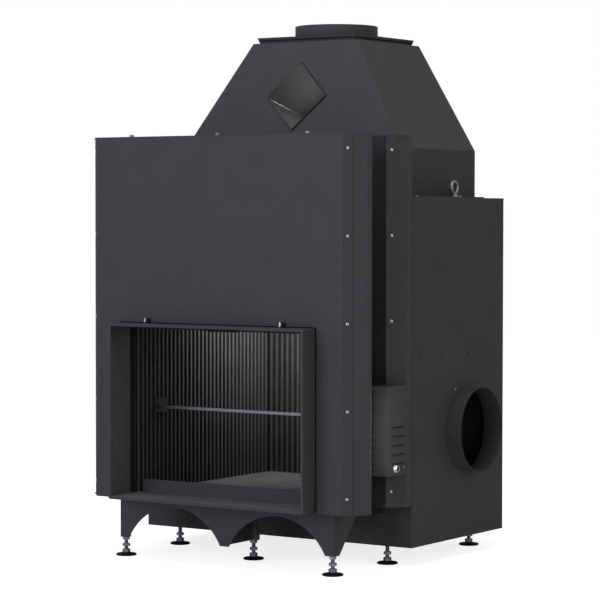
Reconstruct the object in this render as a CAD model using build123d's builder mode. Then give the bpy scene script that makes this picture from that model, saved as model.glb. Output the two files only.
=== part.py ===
from build123d import *
import math
import os

os.makedirs("parts", exist_ok=True)

# Deep built-in kitchen fireplace with a lifting glass door, a roasting spit and levelling feet.
# Millimetres, +Z up, the opening faces -Y. The origin is on the floor, in the plane of symmetry,
# at the centre of the middle levelling foot.

# How far a cutting tool runs past the face it cuts
overrun = 1.0

# Driving sizes of the front casing, which houses the lifting door
casing_front = -192.0
front_width = 850.0
casing_bottom = 175.0
casing_headroom = 55.0
casing_bevel_out = 47.0
casing_bevel_back = 50.0
casing_return = 30.0
sheet = 3.0
rivet_flange = 21.0

# Driving sizes of the second casing, behind it, which joins the body
rear_casing_front = 38.0
rear_bevel_out = 41.5
rear_bevel_back = 38.0

# Driving sizes of the body's jacket
body_shoulder = 84.5
body_front = 111.0
body_depth = 534.0
body_bottom = 55.0
body_height = 993.0
cover_depth = 413.0
cover_gap = 2.0

# Driving sizes of the opening frame
frame_width = 672.0
frame_height = 508.0
frame_projection = 59.0
frame_reach = 43.0
frame_lip = 8.0
frame_skin = 2.0
frame_corner = 5.0
frame_gap = 2.5
sill_sheet = 2.0

# Driving sizes of the firebox
lining_thickness = 36.0
shell_wall = 4.0
firebox_mouth = -132.0
firebox_depth = 693.0
neck_rise = 82.0
hearth_thickness = 32.0
hearth_gap = 1.0
hearth_plates_across = 3
rib_pitch = 20.0
rib_land = 8.0
rib_floor = 6.0
rib_depth = 9.0
retainer_width = 616.0
retainer_height = 40.0
retainer_lean = 8.0
retainer_setback = 5.0
retainer_plate = 4.0
retainer_base = 26.0
baffle_level = 52.0
baffle_depth = 300.0
baffle_rise = 60.0
baffle_thickness = 25.0
baffle_ledge = 14.0
baffle_clearance = 2.0

# Driving sizes of the smoke hood and its convection tube
skirt_width = 764.0
skirt_front = 181.0
skirt_depth = 437.0
skirt_height = 142.0
hood_rise = 322.0
hood_top_width = 370.0
hood_top_front = 266.0
hood_wall = 4.0
skirt_flange = 18.0
skirt_flange_rear = 14.0
skirt_flange_plate = 4.0
flange_width = 347.0
flange_front = 270.0
flange_depth = 339.0
flange_height = 17.0
flange_slant = 6.0
flange_sheet = 3.0
flue_diameter = 250.0
flue_height = 37.0
flue_wall = 3.0
flue_y = 441.0
tube_side = 150.0
tube_height_on_slope = 158.0
tube_wall = 3.0
tube_proud = 4.0
tube_seam = 8.5

# Driving sizes of the side spigot and the lifting eyes
spigot_diameter = 250.0
spigot_reach = 44.0
spigot_inner = 18.0
spigot_wall = 2.0
spigot_y = 437.0
spigot_z = 370.0
collar_width = 6.0
collar_thickness = 3.0
eye_ring = 45.0
eye_bore = 25.0
eye_section = 10.0
eye_collar = 25.0
eye_boss = 7.0
eye_inset = 46.5
eye_y = 427.0
eye_shank = 5.0
eye_shank_length = 16.0

# Driving sizes of the lifting door, its rails, pulleys and weights
door_side_cover = 13.0
door_short = 8.0
door_hang = 30.0
door_depth = 10.0
door_setback = 46.0
door_rim = 24.0
door_lip = 3.0
door_sill_gap = 1.0
glass_thickness = 4.0
gasket_thickness = 2.0
glass_overlap = 14.0
glass_gap = 1.0
tab_width = 12.0
tab_reach = 8.0
tab_spacing = 280.0
handle_width = 94.0
handle_reach = 9.0
handle_drop = 2.0
handle_height = 12.0
handle_plate = 3.0
shoe_height = 40.0
shoe_inset = 10.0
shoe_clearance = 0.4
rail_wall = 2.0
rail_cover = 10.0
rail_clearance = 2.0
pulley_radius = 24.0
pulley_pitch_radius = 21.0
pulley_drop = 29.0
pulley_inset = 18.0
axle_radius = 5.0
axle_clearance = 0.05
hanger_half = 16.0
weight_width = 34.0
weight_depth = 44.0
weight_height = 254.0
weight_floor_gap = 12.0
weight_hole = 5.0
weight_hole_depth = 20.0
rope_radius = 1.5
pulley_web_hole = 3.0
pulley_web_ring = 12.0
pulley_web_holes = 4
pulley_end_gap = 0.4
pulley_collar = 9.0
pulley_cap = 2.0
rail_top_gap = 6.0
rail_splice = 20.0

# Driving sizes of the apron, the legs and the levelling feet
apron_setback = 44.0
apron_plate = 4.0
leg_bottom = 54.0
leg_width = 30.0
leg_depth = 28.0
leg_taper_depth = 133.0
middle_leg_width = 30.0
arch_rise = 99.0
foot_plate = 4.0
leg_nut_plate = 11.0
nut_plate_side = 44.0
web_bottom = 57.0
beam_x = 300.0
beam_width = 40.0
beam_wall = 4.0
post_side = 20.0
post_wall = 2.0
post_bottom = 56.0
sleeve_side = 26.0
sleeve_height = 37.0
web_plate = 4.0
front_foot_inset = 12.0
front_foot_back = 12.0
body_foot_inset = 98.5
body_foot_front = 141.0
body_foot_rear = 613.0
pad_radius = 30.0
pad_height = 6.0
pad_dome_radius = 13.0
pad_dome = 3.0
stem_radius = 6.0
stem_clearance = 0.05
stem_length = 84.0
hex_across = 19.0
hex_height = 10.0
front_nut_level = 27.0
lock_nut_height = 8.0

# Driving sizes of the spit and its drive
spit_y = -26.0
spit_z = 431.0
spit_side = 8.0
spit_journal = 4.5
spit_end_gap = 1.0
spit_clearance = 0.05
bracket_width = 44.0
bracket_height = 42.0
bracket_depth = 14.0
bracket_front = 9.0
bracket_below = 17.0
drive_radius = 8.0
drive_head = 12.0
drive_head_length = 10.0
drive_head_gap = 2.0
socket_depth = 30.0
drive_insertion = 18.0
drive_end_gap = 2.0
bush_radius = 12.0
bush_flange_radius = 20.0
bush_flange = 4.0
box_width = 54.0
box_proud = 13.5
box_front = -41.0
box_rear = 63.0
box_bottom = 272.0
box_height = 248.0
box_radius = 4.0
box_wall = 1.5
lid_overhang = 3.0
lid_height = 8.0
louvre_count = 5
louvre_pitch = 25.6
louvre_first = 308.0
louvre_length = 66.0
louvre_y = 15.0
louvre_rise = 14.0
louvre_proud = 4.0
motor_length = 44.0
motor_width = 60.0
motor_front_gap = 2.0
motor_height = 96.0
gland_radius = 11.0
gland_reach = 12.0
gland_bore = 4.0
gland_thread = 8.0
gland_inner = 8.0
gland_y = -6.0
gland_z = 292.0
box_screw_y = 44.0

# Driving sizes of the fasteners
rivet_radius = 4.0
rivet_head = 2.0
rivet_along = 15.0
rivet_low_inset = 45.0
rivet_high_inset = 42.0
rivet_count = 5
bolt_head_radius = 6.5
bolt_head = 6.0
bolt_spacing = 304.0
bolt_setback = 12.0
screw_radius = 4.0
screw_head = 3.0
cover_screw_inset = 16.5
cover_screw_front = 161.0
cover_screw_pitch = 250.0
side_screw_y = 356.0
side_screw_z = 491.0
side_hole_radius = 3.0
side_hole_z = 594.0
side_hole_first = 151.0
side_hole_second = 273.5
side_hole_third = 431.0
latch_x = 233.5
latch_rise = 9.5
latch_stem = 3.0
latch_clearance = 0.05
latch_reach = 20.0
latch_wing = 13.0
latch_wing_width = 4.0
latch_wing_depth = 9.0
latch_disc = 6.5
latch_shoulder = 4.0
latch_disc_depth = 4.0
latch_disc_gap = 8.0
latch_cam = 22.0
latch_cam_half = 4.0
latch_cam_plate = 3.0
latch_play = 0.4

# Places worked out from the driving sizes
casing_depth = casing_bevel_back + casing_return
casing_back = casing_front + casing_depth
casing_half = front_width / 2 + casing_bevel_out
body_width = skirt_width + 2 * body_shoulder
body_half = body_width / 2
body_rear = body_front + body_depth
body_top = body_bottom + body_height
frame_half = frame_width / 2
frame_bottom = casing_bottom + sheet
frame_top = frame_bottom + frame_height
frame_front = casing_front - frame_projection
frame_back = casing_front + frame_reach
lining_face = frame_half - frame_lip
hearth_top = frame_bottom + frame_lip
shell_inner = lining_face + lining_thickness
shell_outer = shell_inner + shell_wall
shell_floor = hearth_top - hearth_thickness
shell_bottom = shell_floor - shell_wall
firebox_rear = firebox_mouth + firebox_depth
shell_rear = firebox_rear + lining_thickness + shell_wall
neck_top = frame_top + neck_rise
baffle_height = neck_top + baffle_level
skirt_rear = skirt_front + skirt_depth
hood_base = body_top + skirt_height
hood_top = hood_base + hood_rise
cover_top = body_top + sheet
flange_top = hood_top + flange_height
flue_bore = flue_diameter / 2 - flue_wall
door_height = frame_height - door_short
door_travel = frame_height - door_hang
door_front = casing_front + door_setback
door_back = door_front + door_depth
door_bottom = hearth_top + door_sill_gap + handle_drop + door_travel
door_top = door_bottom + door_height
door_half = frame_half + door_side_cover
casing_top = door_top + casing_headroom
pulley_x = door_half + pulley_inset
rail_front = door_front - rail_clearance - rail_wall
rail_back = door_back + rail_clearance + rail_wall
rail_outer = door_half + rail_clearance + rail_wall
pulley_z = casing_top - sheet - pulley_drop
rail_mid = (door_front + door_back) / 2
rail_top = pulley_z - pulley_radius - rail_top_gap
weight_x = pulley_x + pulley_pitch_radius
weight_bottom = frame_bottom + weight_floor_gap
chamber_front = skirt_front + hood_wall
box_side = body_half + box_proud
eye_x = body_half - eye_inset
cover_screw_x = body_half - cover_screw_inset
body_foot_x = body_half - body_foot_inset
box_left = box_side - box_width
box_top = box_bottom + box_height
apron_front = casing_front + apron_setback
apron_half = shell_outer + apron_plate
front_foot_x = apron_half - front_foot_inset
front_foot_y = apron_front + front_foot_back


def block(x, y, z, mode=Mode.ADD):
    """Add or cut a block that lies between two values on each axis."""
    with Locations(((x[0] + x[1]) / 2, (y[0] + y[1]) / 2, (z[0] + z[1]) / 2)):
        Box(x[1] - x[0], y[1] - y[0], z[1] - z[0], mode=mode)


def rod(radius, start, direction, length, mode=Mode.ADD):
    """Add or cut a round bar that starts at a point and runs along a direction."""
    with BuildSketch(Plane(start, z_dir=direction)) as round_end:
        Circle(radius)
    extrude(round_end.sketch, amount=length, mode=mode)


def hexagon(across, start, direction, length):
    """Add a hexagonal prism, measured across its flats."""
    with BuildSketch(Plane(start, z_dir=direction)) as hex_end:
        RegularPolygon(across / 2, 6, major_radius=False)
    extrude(hex_end.sketch, amount=length)


def folded_sheet(points, thickness, z_low, z_high, side=Side.LEFT):
    """Add an upright sheet folded along a plan line, with rounded outer bends."""
    with BuildSketch(Plane.XY.offset(z_low)) as fold:
        with BuildLine():
            Polyline(*points)
            offset(amount=thickness, side=side)
        make_face()
    extrude(fold.sketch, amount=z_high - z_low)


def plan_plate(points, z_low, thickness, mode=Mode.ADD):
    """Add or cut a flat plate with a closed plan outline."""
    with BuildSketch(Plane.XY.offset(z_low)) as outline:
        with BuildLine():
            Polyline(*points, close=True)
        make_face()
    extrude(outline.sketch, amount=thickness, mode=mode)


def profile_bar(points, x_low, x_high, mode=Mode.ADD):
    """Add or cut a bar along X with a closed outline in Y and Z."""
    with BuildSketch(Plane.YZ.offset(x_low)) as profile:
        with BuildLine():
            Polyline(*points, close=True)
        make_face()
    extrude(profile.sketch, amount=x_high - x_low, mode=mode)


def span(x_size, y_range, z_low, inset=0.0):
    """Draw a rectangle in plan, centred on the plane of symmetry, inset all round."""
    with BuildSketch(Plane.XY.offset(z_low)) as drawn:
        with Locations((0, (y_range[0] + y_range[1]) / 2)):
            Rectangle(x_size - 2 * inset, y_range[1] - y_range[0] - 2 * inset)
    return drawn.sketch


def casing_outline(half, front, out, back, depth, inset=0.0, side_inset=0.0):
    """Give the plan corners of a bevelled casing, left to right, from its rear left corner."""
    flat = half - inset * (math.hypot(out, back) - out) / back
    edge = half + out - side_inset
    bevel_end = front + back + (inset * math.hypot(out, back) - side_inset * back) / out
    return [
        (-edge, front + depth),
        (-edge, bevel_end),
        (-flat, front + inset),
        (flat, front + inset),
        (edge, bevel_end),
        (edge, front + depth),
    ]


def bevel_point(half, front, out, back, share, inset=0.0):
    """Give the plan point at a share of the right bevel, sunk inwards from its outer face."""
    length = math.hypot(out, back)
    x = half + out * share - inset * back / length
    y = front + back * share + inset * out / length
    return (x, y)


def mirrored(points):
    """Give the same plan points on the other side of the plane of symmetry."""
    return [(-x, y) for x, y in reversed(points)]


# Front casing: folded cover, and the back pan with its top and bottom plates
front_plan = (front_width / 2, casing_front, casing_bevel_out, casing_bevel_back, casing_depth)
flange_share = rivet_flange / casing_bevel_back
cover_inner = casing_outline(*front_plan, sheet, sheet)
cover_end = bevel_point(*front_plan[:4], flange_share, sheet)
cover_path = [(-cover_end[0], cover_end[1]), *cover_inner[2:4], cover_end]
opening_half = frame_half + frame_gap

with BuildPart() as front_casing_cover:
    folded_sheet(cover_path, sheet, casing_bottom + sheet, casing_top - sheet, Side.RIGHT)
    block(
        (-opening_half, opening_half),
        (casing_front - sheet, casing_front + 2 * sheet),
        (casing_bottom, frame_top + frame_gap),
        mode=Mode.SUBTRACT,
    )
    for side in (-1, 1):
        latch_hole = (side * latch_x, casing_front - sheet, frame_top + latch_rise)
        rod(latch_stem + latch_clearance, latch_hole, (0, 1, 0), 3 * sheet, mode=Mode.SUBTRACT)
front_casing_cover.part.label = "front_casing_cover"
export_step(front_casing_cover.part, "parts/front_casing_cover.step")

pan_outer = casing_outline(*front_plan)
pan_inner = casing_outline(*front_plan, 2 * sheet, sheet)
pan_start = bevel_point(*front_plan[:4], flange_share / 3, 2 * sheet)
pan_path = [
    pan_start,
    pan_inner[4],
    (pan_inner[4][0], casing_back - sheet),
    (-pan_inner[4][0], casing_back - sheet),
    (-pan_inner[4][0], pan_inner[4][1]),
    (-pan_start[0], pan_start[1]),
]

with BuildPart() as front_casing_pan:
    folded_sheet(pan_path, sheet, casing_bottom + sheet, casing_top - sheet, Side.RIGHT)
    plan_plate(pan_outer, casing_bottom, sheet)
    plan_plate(pan_outer, casing_top - sheet, sheet)
    block(
        (-shell_outer, shell_outer),
        (firebox_mouth, casing_back + sheet),
        (casing_bottom - sheet, neck_top),
        mode=Mode.SUBTRACT,
    )
front_casing_pan.part.label = "front_casing_pan"
export_step(front_casing_pan.part, "parts/front_casing_pan.step")

# Second casing, of the same form, against the body
rear_depth = body_front - rear_casing_front
rear_half = body_half - rear_bevel_out
rear_plan = (rear_half, rear_casing_front, rear_bevel_out, rear_bevel_back, rear_depth)
rear_share = rivet_flange / rear_bevel_back
rear_inner = casing_outline(*rear_plan, sheet, sheet)
rear_end = bevel_point(*rear_plan[:4], rear_share, sheet)
rear_path = [(-rear_end[0], rear_end[1]), *rear_inner[2:4], rear_end]

with BuildPart() as rear_casing_cover:
    folded_sheet(rear_path, sheet, casing_bottom, casing_top - sheet, Side.RIGHT)
    block(
        (-shell_outer, shell_outer),
        (rear_casing_front - sheet, rear_casing_front + 2 * sheet),
        (casing_bottom - sheet, neck_top),
        mode=Mode.SUBTRACT,
    )
rear_casing_cover.part.label = "rear_casing_cover"
export_step(rear_casing_cover.part, "parts/rear_casing_cover.step")

rear_pan_inner = casing_outline(*rear_plan, 2 * sheet, sheet)
rear_start = bevel_point(*rear_plan[:4], rear_share / 3, 2 * sheet)
rear_pan_path = [
    rear_start,
    rear_pan_inner[4],
    (rear_pan_inner[4][0], body_front - sheet),
    (-rear_pan_inner[4][0], body_front - sheet),
    (-rear_pan_inner[4][0], rear_pan_inner[4][1]),
    (-rear_start[0], rear_start[1]),
]

with BuildPart() as rear_casing_pan:
    folded_sheet(rear_pan_path, sheet, casing_bottom, casing_top - sheet, Side.RIGHT)
    plan_plate(casing_outline(*rear_plan), casing_top - sheet, sheet)
    block(
        (-shell_outer, shell_outer),
        (body_front - 2 * sheet, body_front + sheet),
        (casing_bottom - sheet, neck_top),
        mode=Mode.SUBTRACT,
    )
rear_casing_pan.part.label = "rear_casing_pan"
export_step(rear_casing_pan.part, "parts/rear_casing_pan.step")

# Rivets along both casings, evenly spaced up each side
rivet_first = casing_bottom + rivet_low_inset
rivet_pitch = (casing_top - rivet_high_inset - rivet_first) / (rivet_count - 1)

with BuildPart() as casing_rivets:
    for plan in (front_plan[:4], rear_plan[:4]):
        bevel_length = math.hypot(plan[2], plan[3])
        head_x, head_y = bevel_point(*plan, rivet_along / bevel_length)
        for side in (-1, 1):
            outward = (side * plan[3], -plan[2], 0)
            for level in range(rivet_count):
                head = (side * head_x, head_y, rivet_first + level * rivet_pitch)
                rod(rivet_radius, head, outward, rivet_head)
casing_rivets.part.label = "casing_rivets"
export_step(casing_rivets.part, "parts/casing_rivets.step")

with BuildPart() as casing_bolts:
    for place in (-1, 0, 1):
        bolt = (place * bolt_spacing, casing_front + bolt_setback, casing_top)
        hexagon(2 * bolt_head_radius, bolt, (0, 0, 1), bolt_head)
casing_bolts.part.label = "casing_bolts"
export_step(casing_bolts.part, "parts/casing_bolts.step")

# Opening frame with its front lip, and the sill inside its foot
frame_mid = (frame_bottom + frame_top) / 2

with BuildPart() as opening_frame:
    with BuildSketch(Plane.XZ.offset(-frame_back)):
        with Locations((0, frame_mid)):
            RectangleRounded(frame_width, frame_height, frame_corner)
            RectangleRounded(
                frame_width - 2 * frame_skin,
                frame_height - 2 * frame_skin,
                frame_corner - frame_skin,
                mode=Mode.SUBTRACT,
            )
    extrude(amount=frame_back - frame_front)
    with BuildSketch(Plane.XZ.offset(-frame_front - frame_skin)):
        with Locations((0, frame_mid)):
            RectangleRounded(frame_width, frame_height, frame_corner)
            Rectangle(frame_width - 2 * frame_lip, frame_height - 2 * frame_lip, mode=Mode.SUBTRACT)
    extrude(amount=frame_skin)
opening_frame.part.label = "opening_frame"
export_step(opening_frame.part, "parts/opening_frame.step")

sill_half = frame_half - frame_skin
sill_front = frame_front + frame_skin
sill_back = firebox_mouth - hearth_gap

with BuildPart() as opening_sill:
    block((-sill_half, sill_half), (sill_front, sill_back), (hearth_top - sill_sheet, hearth_top))
    flange_half = frame_half - frame_corner
    block(
        (-flange_half, flange_half),
        (sill_front, sill_front + sill_sheet),
        (frame_bottom + frame_skin, hearth_top),
    )
    block((-flange_half, flange_half), (sill_back - sill_sheet, sill_back), (frame_bottom, hearth_top))
opening_sill.part.label = "opening_sill"
export_step(opening_sill.part, "parts/opening_sill.step")

# Quarter-turn latches above the opening
latch_z = frame_top + latch_rise


def latch(side):
    """Add one latch: winged knob, disc, stem and the cam behind the cover."""
    tip = casing_front - latch_reach
    cam_front = casing_front + sheet + latch_play
    rod(latch_stem, (side * latch_x, tip, latch_z), (0, 1, 0), cam_front + latch_cam_plate - tip)
    disc_back = casing_front - latch_disc_gap
    rod(latch_disc, (side * latch_x, disc_back, latch_z), (0, -1, 0), latch_disc_depth)
    rod(latch_shoulder, (side * latch_x, casing_front - latch_play, latch_z), (0, -1, 0), latch_disc_gap)
    block(
        (side * latch_x - latch_wing_width / 2, side * latch_x + latch_wing_width / 2),
        (tip, tip + latch_wing_depth),
        (latch_z - latch_wing / 2, latch_z + latch_wing / 2),
    )
    block(
        (side * latch_x - latch_cam_half, side * latch_x + latch_cam_half),
        (cam_front, cam_front + latch_cam_plate),
        (latch_z - latch_cam_half, latch_z + latch_cam),
    )


with BuildPart() as latch_left:
    latch(-1)
latch_left.part.label = "latch_left"
export_step(latch_left.part, "parts/latch_left.step")

with BuildPart() as latch_right:
    latch(1)
latch_right.part.label = "latch_right"
export_step(latch_right.part, "parts/latch_right.step")

# Lifting door: rim, glass, gasket, handle and sliding shoes
glass_rebate = door_rim - glass_overlap
pane_inset = glass_rebate + glass_gap
door_mid = (door_bottom + door_top) / 2

with BuildPart() as door_frame:
    block((-door_half, door_half), (door_front, door_back), (door_bottom, door_top))
    block(
        (door_rim - door_half, door_half - door_rim),
        (door_front - door_lip, door_back + door_lip),
        (door_bottom + door_rim, door_top - door_rim),
        mode=Mode.SUBTRACT,
    )
    block(
        (glass_rebate - door_half, door_half - glass_rebate),
        (door_front + door_lip, door_back + door_lip),
        (door_bottom + glass_rebate, door_top - glass_rebate),
        mode=Mode.SUBTRACT,
    )
    tab_front = door_front + door_lip + gasket_thickness + glass_thickness
    for place in (-1, 0, 1):
        tab = (place * tab_spacing - tab_width / 2, place * tab_spacing + tab_width / 2)
        low = door_bottom + glass_rebate
        high = door_top - glass_rebate
        block(tab, (tab_front, door_back), (low - door_lip, low + tab_reach))
        block(tab, (tab_front, door_back), (high - tab_reach, high + door_lip))
door_frame.part.label = "door_frame"
export_step(door_frame.part, "parts/door_frame.step")

gasket_front = door_front + door_lip
glass_front = gasket_front + gasket_thickness

with BuildPart() as door_gasket:
    block(
        (pane_inset - door_half, door_half - pane_inset),
        (gasket_front, glass_front),
        (door_bottom + pane_inset, door_top - pane_inset),
    )
    block(
        (door_rim - door_half, door_half - door_rim),
        (gasket_front - door_lip, glass_front + door_lip),
        (door_bottom + door_rim, door_top - door_rim),
        mode=Mode.SUBTRACT,
    )
door_gasket.part.label = "door_gasket"
export_step(door_gasket.part, "parts/door_gasket.step")

with BuildPart() as door_glass:
    block(
        (pane_inset - door_half, door_half - pane_inset),
        (glass_front, glass_front + glass_thickness),
        (door_bottom + pane_inset, door_top - pane_inset),
    )
door_glass.part.label = "door_glass"
export_step(door_glass.part, "parts/door_glass.step")

handle_bottom = door_bottom - handle_drop

with BuildPart() as door_handle:
    block(
        (-handle_width / 2, handle_width / 2),
        (door_front - handle_plate, door_front),
        (handle_bottom, handle_bottom + handle_height),
    )
    block(
        (-handle_width / 2, handle_width / 2),
        (door_front - handle_reach, door_front),
        (handle_bottom, handle_bottom + handle_plate),
    )
door_handle.part.label = "door_handle"
export_step(door_handle.part, "parts/door_handle.step")

with BuildPart() as door_shoes:
    shoe_x = (rail_outer - rail_cover, door_half + rail_clearance - shoe_clearance)
    shoe_y = (
        door_front - rail_clearance + shoe_clearance,
        door_back + rail_clearance - shoe_clearance,
    )
    for side in (-1, 1):
        across = sorted(side * x for x in shoe_x)
        for low in (door_bottom + shoe_inset, door_top - shoe_inset - shoe_height):
            block(across, shoe_y, (low, low + shoe_height))
    block(
        (-door_half, door_half),
        (door_front, door_back),
        (door_bottom, door_top),
        mode=Mode.SUBTRACT,
    )
door_shoes.part.label = "door_shoes"
export_step(door_shoes.part, "parts/door_shoes.step")


# Door rails, each with the plate and the fixed axle of its pulley
def door_rail(side):
    """Add one channel rail with its axle plate at the top."""
    channel = sorted((side * (rail_outer - rail_cover), side * rail_outer))
    hollow = sorted((side * (rail_outer - 2 * rail_cover), side * (rail_outer - rail_wall)))
    plate = sorted((side * (rail_outer - rail_cover), side * (pulley_x + hanger_half)))
    plate_front = rail_back - rail_wall
    block(channel, (rail_front, rail_back), (frame_bottom, rail_top))
    block(
        hollow,
        (rail_front + rail_wall, plate_front),
        (frame_bottom - rail_wall, rail_top + rail_wall),
        mode=Mode.SUBTRACT,
    )
    block(plate, (plate_front, rail_back), (rail_top - rail_splice, casing_top - sheet))
    centre = (side * pulley_x, plate_front, pulley_z)
    pin = plate_front - door_front + pulley_end_gap + pulley_cap
    rod(axle_radius, centre, (0, -1, 0), pin)
    rod(pulley_collar, centre, (0, -1, 0), plate_front - door_back - pulley_end_gap)
    cap = (side * pulley_x, door_front - pulley_end_gap, pulley_z)
    rod(pulley_collar, cap, (0, -1, 0), pulley_cap)


with BuildPart() as door_rail_left:
    door_rail(-1)
door_rail_left.part.label = "door_rail_left"
export_step(door_rail_left.part, "parts/door_rail_left.step")

with BuildPart() as door_rail_right:
    door_rail(1)
door_rail_right.part.label = "door_rail_right"
export_step(door_rail_right.part, "parts/door_rail_right.step")


# Rope pulleys
def pulley(side):
    """Add one grooved pulley with its bore and a ring of holes in its web."""
    centre = (side * pulley_x, rail_mid, pulley_z)
    with Locations(Plane(centre, z_dir=(0, 1, 0))):
        Cylinder(pulley_radius, door_depth)
        Torus(pulley_radius, pulley_radius - pulley_pitch_radius + rope_radius, mode=Mode.SUBTRACT)
        Cylinder(axle_radius + axle_clearance, 2 * door_depth, mode=Mode.SUBTRACT)
        with PolarLocations(pulley_web_ring, pulley_web_holes):
            Cylinder(pulley_web_hole, 2 * door_depth, mode=Mode.SUBTRACT)


with BuildPart() as pulley_left:
    pulley(-1)
pulley_left.part.label = "pulley_left"
export_step(pulley_left.part, "parts/pulley_left.step")

with BuildPart() as pulley_right:
    pulley(1)
pulley_right.part.label = "pulley_right"
export_step(pulley_right.part, "parts/pulley_right.step")

# Counterweights, which hang on the outer side of the pulleys
with BuildPart() as counterweights:
    for side in (-1, 1):
        weight_span = (side * weight_x - weight_width / 2, side * weight_x + weight_width / 2)
        block(
            weight_span,
            (rail_mid - weight_depth / 2, rail_mid + weight_depth / 2),
            (weight_bottom, weight_bottom + weight_height),
        )
        rope_end = (side * weight_x, rail_mid, weight_bottom + weight_height)
        rod(weight_hole, rope_end, (0, 0, -1), weight_hole_depth, mode=Mode.SUBTRACT)
counterweights.part.label = "counterweights"
export_step(counterweights.part, "parts/counterweights.step")

# Firebox shell: long neck through both casings, smoke chamber behind, ledges for the baffle
ledge_rise = baffle_rise / baffle_depth
chamber_rear = shell_rear - shell_wall
baffle_rear = chamber_rear - baffle_clearance
baffle_front = chamber_rear - baffle_depth


def baffle_line(y, drop):
    """Give a point on the baffle's underside, or a drop below it."""
    return (y, baffle_height - drop + (chamber_rear - y) * ledge_rise)


with BuildPart() as firebox_shell:
    block((-shell_outer, shell_outer), (firebox_mouth, shell_rear), (shell_bottom, neck_top))
    block((-shell_outer, shell_outer), (chamber_front, shell_rear), (neck_top, body_top))
    block(
        (-shell_inner, shell_inner),
        (firebox_mouth - shell_wall, chamber_rear),
        (shell_floor, neck_top - shell_wall),
        mode=Mode.SUBTRACT,
    )
    block(
        (-shell_inner, shell_inner),
        (chamber_front + shell_wall, chamber_rear),
        (neck_top - 2 * shell_wall, body_top + shell_wall),
        mode=Mode.SUBTRACT,
    )
    lintel_bottom = frame_top - frame_skin
    block(
        (-lining_face, lining_face),
        (firebox_mouth, firebox_mouth + shell_wall),
        (lintel_bottom, neck_top - shell_wall),
    )
    ledge = [
        baffle_line(baffle_rear, 0),
        baffle_line(baffle_front, 0),
        baffle_line(baffle_front, shell_wall),
        baffle_line(baffle_rear, shell_wall),
    ]
    profile_bar(ledge, -shell_inner, baffle_ledge - shell_inner)
    profile_bar(ledge, shell_inner - baffle_ledge, shell_inner)
    bush_hole = (shell_inner - shell_wall, spit_y, spit_z)
    rod(bush_radius, bush_hole, (1, 0, 0), 3 * shell_wall, mode=Mode.SUBTRACT)
firebox_shell.part.label = "firebox_shell"
export_step(firebox_shell.part, "parts/firebox_shell.step")

with BuildPart() as baffle:
    slab = [
        baffle_line(baffle_rear, 0),
        baffle_line(baffle_front, 0),
        baffle_line(baffle_front, -baffle_thickness),
        baffle_line(baffle_rear, -baffle_thickness),
    ]
    profile_bar(slab, baffle_clearance - shell_inner, shell_inner - baffle_clearance)
baffle.part.label = "baffle"
export_step(baffle.part, "parts/baffle.step")

# Ribbed linings and the plain hearth
lining_top = neck_top - shell_wall
rib_flank = (rib_pitch - rib_land - rib_floor) / 2


def ribbed_edge(start, end):
    """Give (along, depth) points of a ribbed face between two ends, with its ribs centred."""
    grooves = int((end - start - 2 * rib_land) // rib_pitch)
    first = (start + end - grooves * rib_pitch + rib_land) / 2
    points = [(start, 0)]
    for index in range(grooves):
        at = first + index * rib_pitch
        points.append((at, 0))
        points.append((at + rib_flank, rib_depth))
        points.append((at + rib_flank + rib_floor, rib_depth))
        points.append((at + 2 * rib_flank + rib_floor, 0))
    points.append((end, 0))
    return points


def side_lining(side):
    """Add one ribbed side wall with the passage of the spit bush where it has one."""
    face = [(side * (lining_face + depth), along) for along, depth in ribbed_edge(firebox_mouth, firebox_rear)]
    back = [(side * shell_inner, firebox_rear), (side * shell_inner, firebox_mouth)]
    plan_plate(face + back, hearth_top, lining_top - hearth_top)


with BuildPart() as lining_left:
    side_lining(-1)
lining_left.part.label = "lining_left"
export_step(lining_left.part, "parts/lining_left.step")

with BuildPart() as lining_right:
    side_lining(1)
    bush_start = (lining_face - shell_wall, spit_y, spit_z)
    rod(bush_radius, bush_start, (1, 0, 0), lining_thickness + 2 * shell_wall, mode=Mode.SUBTRACT)
lining_right.part.label = "lining_right"
export_step(lining_right.part, "parts/lining_right.step")

with BuildPart() as lining_back:
    ribs = [(along, firebox_rear + depth) for along, depth in ribbed_edge(-lining_face, lining_face)]
    corners = [
        (shell_inner, firebox_rear),
        (shell_inner, chamber_rear),
        (-shell_inner, chamber_rear),
        (-shell_inner, firebox_rear),
    ]
    plan_plate(ribs + corners, hearth_top, lining_top - hearth_top)
lining_back.part.label = "lining_back"
export_step(lining_back.part, "parts/lining_back.step")

with BuildPart() as hearth_plates:
    block((-shell_inner, shell_inner), (firebox_mouth, chamber_rear), (shell_floor, hearth_top))
    plate_width = 2 * lining_face / hearth_plates_across
    for seam in range(1, hearth_plates_across):
        seam_x = seam * plate_width - lining_face
        block(
            (seam_x - hearth_gap / 2, seam_x + hearth_gap / 2),
            (firebox_mouth - hearth_gap, chamber_rear + hearth_gap),
            (shell_floor - hearth_gap, hearth_top + hearth_gap),
            mode=Mode.SUBTRACT,
        )
hearth_plates.part.label = "hearth_plates"
export_step(hearth_plates.part, "parts/hearth_plates.step")

with BuildPart() as log_retainer:
    foot_y = firebox_mouth + retainer_setback
    top_y = foot_y + retainer_lean
    retainer_top = hearth_top + retainer_height
    profile_bar(
        [
            (foot_y, hearth_top),
            (foot_y + retainer_base, hearth_top),
            (foot_y + retainer_base, hearth_top + retainer_plate),
            (foot_y + retainer_plate, hearth_top + retainer_plate),
            (top_y + retainer_plate, retainer_top),
            (top_y, retainer_top),
        ],
        -retainer_width / 2,
        retainer_width / 2,
    )
log_retainer.part.label = "log_retainer"
export_step(log_retainer.part, "parts/log_retainer.step")

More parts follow.
